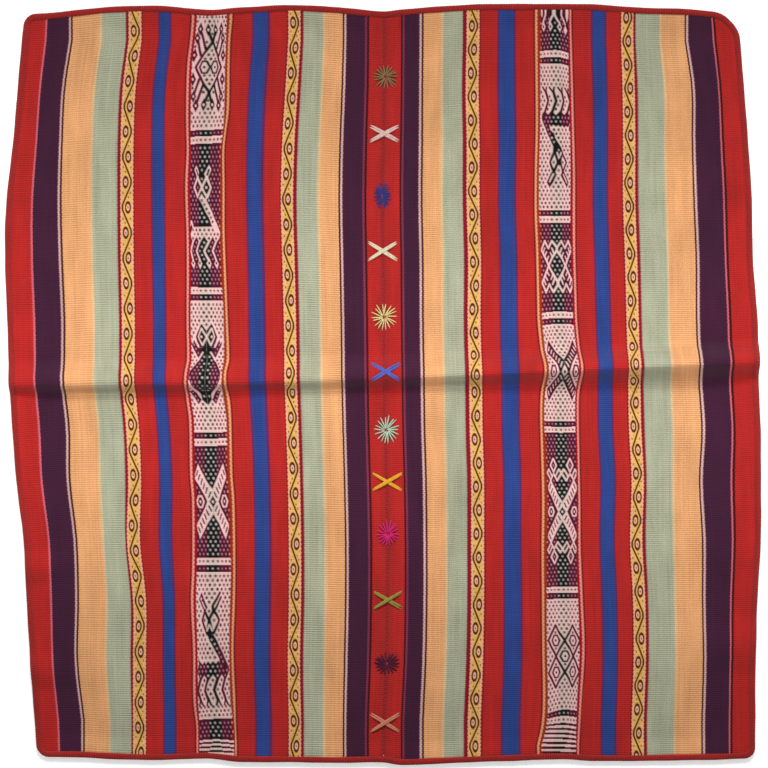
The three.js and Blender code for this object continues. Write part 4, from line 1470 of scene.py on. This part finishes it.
def weave_chain(name, side, centre, width, period, offset, material, seed):
    random = np.random.default_rng(seed)
    x_line, y_line, run = lay_warp(centre)
    places = np.linspace(0, 1, PICKS[side] * BAND_ROWS_IN_PICK + 1)
    lengths = places * run[-1]
    half = width / 2
    across = np.linspace(-half - CHAIN_MARGIN, half + CHAIN_MARGIN, CHAIN_COLUMNS)
    grid_a, grid_l = np.meshgrid(across, lengths)
    centre_x = np.interp(lengths, run, x_line)
    y_at = np.interp(lengths, run, y_line)
    x = centre_x[:, None] + grid_a
    y = np.repeat(y_at[:, None], len(across), axis=1)
    points = np.stack([x, y, cloth_height(x, y)], axis=-1)
    normals = cloth_normal(x, y)
    sway = 0.25 * np.sin(grid_l * 0.13 + seed)
    brown, heart = chain_tone(grid_a + sway, grid_l + offset, half, period)
    outer = smooth_step(0.35 * half, 0.95 * half, np.abs(grid_a))
    colour = mix(CHAIN_DYES["yellow"], CHAIN_DYES["peach"], outer)
    colour = mix(colour, CHAIN_DYES["inner"], heart)
    colour = mix(colour, CHAIN_DYES["brown"], brown)
    pick = places[:, None] * PICKS[side] + 0 * grid_a
    scallop = 0.22 * np.cos(np.pi * pick)
    rim = smooth_step(half - 0.45, half + 0.1, np.abs(grid_a) + scallop)
    colour = mix(colour, CHAIN_DYES["edge"], rim)
    rows = random.normal(1, 0.04, 900)[np.clip(pick.astype(int), 0, 899)]
    colour = colour * rows[..., None]
    relief = BAND_LIFT + 0.12 * (1 - brown) + 0.03 * np.cos(2 * np.pi * pick)
    edge = np.minimum(grid_a - across[0], across[-1] - grid_a)
    relief = relief * smooth_step(-0.1, 0.7, edge) - 0.1 * (edge < 0.05)
    top = points + normals * (CLOTH_THICKNESS / 2 + relief)[..., None]
    place = np.stack([centre + grid_a, pick, 0 * grid_a], axis=-1)
    return make_piece(
        name, top.reshape(-1, 3), [grid_faces(*x.shape)], material,
        {"cloth": place.reshape(-1, 3)}, {"dye": colour.reshape(-1, 3)},
    )


chains = [
    weave_chain(name, side, centre, width, period, offset, BAND_WOOL, 20 + k)
    for k, (name, side, centre, width, period, offset) in enumerate(CHAINS)
]

# %% [markdown]
# The edging is a narrow tube that was woven and sewn round the edge in one go. It is built as a
# ring of small sections set on the cloth's outline, square to it. Slanting ribs round the tube
# are its weft, and its outer face shows a little of the pale and dark pattern of its underside.

# %% Trace the outline for the edging
def outline_points(count=900):
    """Points round the cloth's own edge, clockwise from the top left, with height and normal."""
    share = np.linspace(0, 1, count, endpoint=False)
    left_top = float(left_edge(np.array(275.0)))
    right_top = float(right_edge(np.array(273.0)))
    right_low = float(right_edge(np.array(-277.0)))
    left_low = float(left_edge(np.array(-277.0)))
    x = left_top + (right_top - left_top) * share
    sides = [np.stack([x, top_edge(x)], axis=1)]
    start = float(top_edge(np.array(right_top)))
    end = float(bottom_edge(np.array(right_low)))
    y = start + (end - start) * share
    sides.append(np.stack([right_edge(y), y], axis=1))
    x = right_low + (left_low - right_low) * share
    sides.append(np.stack([x, bottom_edge(x)], axis=1))
    start = float(bottom_edge(np.array(left_low)))
    end = float(top_edge(np.array(left_top)))
    y = start + (end - start) * share
    sides.append(np.stack([left_edge(y), y], axis=1))
    flat = np.concatenate(sides)
    x, y = flat[:, 0], flat[:, 1]
    heights = cloth_height(x, y)
    normals = cloth_normal(x, y)
    round_x, round_y = round_corner(x, y)
    return np.stack([round_x, round_y, heights], axis=1), normals


def even_ring(points, normals, step):
    """The same ring with its points at even steps along it."""
    closed = np.vstack([points, points[:1]])
    run = np.concatenate([[0], np.cumsum(np.linalg.norm(np.diff(closed, axis=0), axis=1))])
    count = int(run[-1] / step)
    at = np.linspace(0, run[-1], count, endpoint=False)
    all_normals = np.vstack([normals, normals[:1]])
    new_points = np.stack([np.interp(at, run, closed[:, k]) for k in range(3)], axis=1)
    new_normals = np.stack([np.interp(at, run, all_normals[:, k]) for k in range(3)], axis=1)
    return new_points, new_normals, at


# %% Weave the edging
EDGING_SECTION = 18


def make_edging_material():
    material, tree, shader, warp, pick = start_wool("edging_wool", 0.88, 0.1)
    stored = tree.nodes.new("ShaderNodeVertexColor")
    stored.layer_name = "dye"
    finish_wool(tree, shader, stored.outputs["Color"], warp, pick, 0.2, 0.3, 0.3, 0.6)
    return material


def weave_edging():
    points, normals, run = even_ring(*outline_points(), 0.9)
    ahead = np.roll(points, -3, axis=0) - np.roll(points, 3, axis=0)
    outward = np.stack([-ahead[:, 1], ahead[:, 0], 0 * run], axis=1)
    outward -= normals * (outward * normals).sum(1, keepdims=True)
    outward /= np.linalg.norm(outward, axis=1, keepdims=True)
    turn = np.linspace(0, 2 * np.pi, EDGING_SECTION, endpoint=False)
    grid_t, grid_r = np.meshgrid(turn, run)
    slant = np.cos(2 * np.pi * grid_r / 1.9 + 2 * grid_t)
    swell = 1 + 0.045 * slant + 0.03 * np.sin(grid_r * 0.21) + 0.02 * np.sin(grid_r * 0.057)
    out = 0.1 + 2.35 * swell * np.sign(np.cos(turn)) * np.abs(np.cos(turn)) ** 0.85
    up = 1.95 * swell * np.sign(np.sin(turn)) * np.abs(np.sin(turn)) ** 0.85
    shape = points[:, None] + outward[:, None] * out[..., None] + normals[:, None] * up[..., None]
    rows, columns = grid_t.shape
    index = np.arange(rows * columns).reshape(rows, columns)
    nxt = np.roll(index, -1, axis=0)
    side = np.roll(index, -1, axis=1)
    both = np.roll(nxt, -1, axis=1)
    faces = [np.stack([c.ravel() for c in (index, side, both, nxt)], axis=1)]
    # Painted shade: the red is darker in the hollows between the slanting ribs and lighter on their
    # crests.
    colour = mix(dye(190, 54, 48), dye(150, 34, 36), 0.5 - 0.5 * slant)
    under = smooth_step(-0.15, 0.25, -np.sin(grid_t))
    marks = np.mod(grid_r / 3.4 + grid_t, 3)[..., None]
    pale = dye(214, 196, 178)
    grey = dye(120, 132, 112)
    dark = dye(48, 14, 20)
    pattern = np.where(marks < 1, pale, np.where(marks < 2, grey, dark))
    colour = mix(colour, pattern, 0.85 * under)
    place = np.stack([grid_t * 2.1, grid_r / 1.4, 0 * grid_r], axis=-1)
    piece = make_piece(
        "edging_tube", shape.reshape(-1, 3), faces, make_edging_material(),
        {"cloth": place.reshape(-1, 3)}, {"dye": colour.reshape(-1, 3)},
    )
    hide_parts("edging")
    return piece


edging = weave_edging()

# %% [markdown]
# Embroidery comes next. A star is eighteen straight stitches of one yarn that all pass into the
# cloth close to its middle, and a cross is two pairs of long stitches. Each stitch is a soft tube
# that rises out of the cloth, lies on it and dives in again, so a short table of names, colours
# and sizes is enough to sew all twelve.

# %% Tables of the embroidery
STARS = [
    ("star_green", "yarn_green", (150, 132, 88), 230.6, 1, 10.5, 10),
    ("star_blue", "yarn_blue", (36, 66, 150), 141.4, 0, 7.2, 11),
    ("star_yellow", "yarn_yellow", (240, 222, 150), 50.6, 0.4, 10.8, 11),
    ("star_mint", "yarn_mint", (188, 222, 194), -34, 1.2, 10.5, 11.3),
    ("star_pink", "yarn_pink", (230, 34, 122), -112, 0.5, 9.8, 10.8),
    ("star_plum", "yarn_plum", (84, 24, 62), -209, 0.6, 10.4, 9.6),
]
CROSSES = [
    ("cross_rose", "yarn_rose", (246, 208, 196), 188, 0.8, 10.6, 5.8),
    ("cross_cream", "yarn_cream", (244, 230, 196), 99.8, -0.2, 10.6, 6.6),
    ("cross_violet", "yarn_violet", (96, 108, 200), 9.4, 1, 11, 6.4),
    ("cross_gold", "yarn_gold", (244, 182, 48), -73, 0.8, 11, 6.4),
    ("cross_olive", "yarn_olive", (160, 150, 66), -161.6, 0, 10.6, 6.2),
    ("cross_salmon", "yarn_salmon", (225, 140, 110), -253.5, 1, 11, 6.6),
]
STITCH_SIDES = 8
STITCH_STEPS = 9


def make_yarn_material(name, colour):
    material, tree, shader, along, around = start_wool(name, 0.82, 0.12)
    twist = maths(tree, "ADD", maths(tree, "MULTIPLY", along, 1.6), around)
    ply = maths(tree, "SINE", maths(tree, "MULTIPLY", twist, 2 * math.pi))
    # Painted shade: dark is the yarn's own colour darkened, blended in along the grooves between the
    # plies.
    dark = tuple(0.78 * c for c in dye(*colour)) + (1,)
    light = tuple(dye(*colour)) + (1,)
    base = blend_colours(tree, "MIX", spread(tree, ply, -1.0, 0.2, 0.0, 1.0), dark, light)
    tone = place_group(tree, WOOL_TONE, Colour=base, Warp=along, Pick=around, Streaks=0.3, Flecks=0.3)
    put(shader, "Base Color", tone.outputs[0])
    bump = tree.nodes.new("ShaderNodeBump")
    bump.inputs["Strength"].default_value = 0.5
    bump.inputs["Distance"].default_value = 0.0002
    put(bump, "Height", ply)
    put(shader, "Normal", bump.outputs[0])
    return material


def stitch_tube(start, end, radius, lift, first):
    """Points, faces and yarn places of one stitch between two places on the cloth."""
    share = np.linspace(0, 1, STITCH_STEPS)
    x = start[0] + (end[0] - start[0]) * share
    y = start[1] + (end[1] - start[1]) * share
    arch = np.sin(np.pi * share) ** 0.45
    normal = cloth_normal(x, y)
    height = cloth_height(x, y) + CLOTH_THICKNESS / 2 + lift * arch - 0.25 * (1 - arch)
    middle = np.stack([x, y, height], axis=1)
    length = math.hypot(end[0] - start[0], end[1] - start[1])
    sideways = np.array([start[1] - end[1], end[0] - start[0], 0]) / length
    thick = radius * (0.35 + 0.65 * arch)
    turn = np.linspace(0, 2 * np.pi, STITCH_SIDES, endpoint=False)
    ring = sideways * np.cos(turn)[:, None, None] + normal * np.sin(turn)[:, None, None]
    points = (middle + ring * thick[:, None]).transpose(1, 0, 2)
    index = first + np.arange(STITCH_STEPS * STITCH_SIDES).reshape(STITCH_STEPS, STITCH_SIDES)
    side = np.roll(index, -1, axis=1)
    faces = np.stack([index[:-1].ravel(), side[:-1].ravel(), side[1:].ravel(), index[1:].ravel()], axis=1)
    along = np.repeat((share * length)[:, None], STITCH_SIDES, axis=1)
    around = np.repeat((turn / (2 * np.pi))[None, :], STITCH_STEPS, axis=0)
    place = np.stack([along, around, 0 * along], axis=-1)
    caps = np.stack([index[0][::-1], index[-1]])
    return points.reshape(-1, 3), faces, caps, place.reshape(-1, 3)


def make_stitches(name, material, stitches):
    """One piece from a list of stitches: start, end, radius and lift of each."""
    points, faces, caps, places = [], [], [], []
    for k, (start, end, radius, lift) in enumerate(stitches):
        made = stitch_tube(start, end, radius, lift, k * STITCH_STEPS * STITCH_SIDES)
        for rows, new in zip((points, faces, caps, places), made):
            rows.append(new)
    return make_piece(
        name, np.concatenate(points), [np.concatenate(faces), np.concatenate(caps)],
        material, {"cloth": np.concatenate(places)},
    )


def sew(name, colour, stitches):
    material = make_yarn_material(name + "_yarn", colour)
    piece = make_stitches(name + "_stitches", material, stitches)
    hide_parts(name)
    return piece


# %% Sew the stars
STITCHES_IN_STAR = 18


def sew_star(row, seed):
    name, slot, colour, y, aside, wide, high = row
    random = np.random.default_rng(seed)
    x = float(seam_line(y)) + aside
    stitches = []
    for k in range(STITCHES_IN_STAR):
        angle = 2 * math.pi * (k + random.uniform(-0.25, 0.25)) / STITCHES_IN_STAR
        reach = random.uniform(0.84, 1.0)
        heart = random.uniform(0.3, 1.4)
        start = (x + heart * math.cos(angle + 0.5), y + heart * math.sin(angle + 0.5))
        end = (x + reach * wide * math.cos(angle), y + reach * high * math.sin(angle))
        stitches.append((start, end, random.uniform(0.42, 0.56), random.uniform(0.4, 0.85)))
    return sew(name, colour, stitches)


stars = [sew_star(row, 40 + k) for k, row in enumerate(STARS)]


# %% Sew the crosses
def sew_cross(row, seed):
    name, slot, colour, y, aside, wide, high = row
    random = np.random.default_rng(seed)
    x = float(seam_line(y)) + aside
    stitches = []
    for direction, lift in ((1, 0.45), (-1, 1.15)):
        for strand in (-1, 1):
            shift = strand * 0.62
            wobble = random.uniform(-0.5, 0.5, 4)
            start = (x - wide + wobble[0], y + direction * high + shift + wobble[1] * 0.5)
            end = (x + wide + wobble[2], y - direction * high + shift + wobble[3] * 0.5)
            stitches.append((start, end, 0.95, lift))
    return sew(name, colour, stitches)


crosses = [sew_cross(row, 60 + k) for k, row in enumerate(CROSSES)]

# %% [markdown]
# The two panels are joined by a fine red yarn that runs along the seam in small stitches. On the
# real cloth it goes through both selvages by turns. Here each stitch is the same soft tube as in
# the stars, laid end to end over the gap between the panels.

# %% Join the two panels
SEAM_STITCH = 3.0
SEAM_TOP = 278
SEAM_LENGTH = 556
SEAM_OVERLAP = 0.3


def join_panels():
    stitches = []
    for k in range(int(SEAM_LENGTH / SEAM_STITCH)):
        top = SEAM_TOP - k * SEAM_STITCH
        low = top - SEAM_STITCH
        start = (float(seam_line(top)), top + SEAM_OVERLAP)
        end = (float(seam_line(low)), low - SEAM_OVERLAP)
        stitches.append((start, end, 0.5, 0.12))
    material = make_yarn_material("joining_yarn_wool", (176, 38, 40))
    return make_stitches("joining_yarn", material, stitches)


joining_yarn = join_panels()

# %% [markdown]
# Each panel is a woven sheet of its own that was cut from nothing: it came off the loom at this
# size. The bands, the edging and the stitches lie on the panels.

# %% [markdown]
# The photograph looks straight down. The camera hangs high over the cloth with a long lens, so
# that the ridge hardly grows towards it. The pale table glows a little, which keeps it white. A
# wide soft lamp stands far past the cloth's top end and shades the ridge. The cloth in the
# photograph is brightest across its middle, so a long strip lamp hangs low over the fold, where
# the camera doesn't see it. A pale sky fills the shadows.

# %% The table
TABLE_GLOW = 0.4


def make_table_material():
    material = bpy.data.materials.new("pale_table")
    material.use_nodes = True
    tree = material.node_tree
    shader = tree.nodes["Principled BSDF"]
    shader.inputs["Roughness"].default_value = 0.85
    place = tree.nodes.new("ShaderNodeTexCoord")
    grain = cloudy(tree, place.outputs["Object"], 60.0, 4.0)
    shade = spread(tree, grain, 0.2, 0.8, 0.9, 0.94)
    put(shader, "Base Color", combine(tree, shade, shade, shade))
    shader.inputs["Emission Color"].default_value = (1, 1, 1, 1)
    shader.inputs["Emission Strength"].default_value = TABLE_GLOW
    return material


table_size = 2.0
table_mesh = bpy.data.meshes.new("table")
table_mesh.from_pydata(
    [(-table_size, -table_size, 0), (table_size, -table_size, 0),
     (table_size, table_size, 0), (-table_size, table_size, 0)],
    [], [(0, 1, 2, 3)],
)
table = bpy.data.objects.new("table", table_mesh)
table_mesh.materials.append(make_table_material())
bpy.context.scene.collection.objects.link(table)
table.location.z = -0.0002
print("the table is", 2 * table_size, "m wide")


# %% The light
def add_lamp(name, place, size, power):
    """A disk lamp at a place in metres that shines at the middle of the cloth."""
    lamp = bpy.data.lights.new(name, "AREA")
    lamp.shape = "DISK"
    lamp.size = size
    lamp.energy = power
    holder = bpy.data.objects.new(name, lamp)
    holder.location = place
    holder.rotation_euler = (-Vector(place)).to_track_quat("-Z", "Y").to_euler()
    bpy.context.scene.collection.objects.link(holder)
    return holder


add_lamp("key_lamp", (0.2, 3.0, 2.5), 0.9, 100)
strip_lamp = add_lamp("strip_lamp", (0, 0.02, 0.21), 2.4, 2.4)
strip_lamp.data.shape = "RECTANGLE"
strip_lamp.data.size_y = 0.25
strip_lamp.rotation_euler = (0, 0, 0)
strip_lamp.visible_camera = False

scene = bpy.context.scene
world = bpy.data.worlds.new("pale_room")
scene.world = world
world.use_nodes = True
world.node_tree.nodes["Background"].inputs["Color"].default_value = (1, 1, 1, 1)
world.node_tree.nodes["Background"].inputs["Strength"].default_value = 0.35
scene.view_settings.view_transform = "Standard"
scene.view_settings.look = "None"
print("lamps:", [lamp.name for lamp in bpy.data.lights])

# %% The camera
SENSOR = 36
VIEW_WIDTH = 0.576

camera_data = bpy.data.cameras.new("camera")
camera_data.sensor_width = SENSOR
camera_height = 2.4
camera_data.lens = SENSOR * camera_height / VIEW_WIDTH
camera_data.clip_start = 0.1
camera = bpy.data.objects.new("camera", camera_data)
camera.location = (0.00075, 0.000375, camera_height)
scene.collection.objects.link(camera)
scene.camera = camera
print("camera lens:", camera_data.lens, "mm")

# %% Finish
bpy.context.view_layer.update()
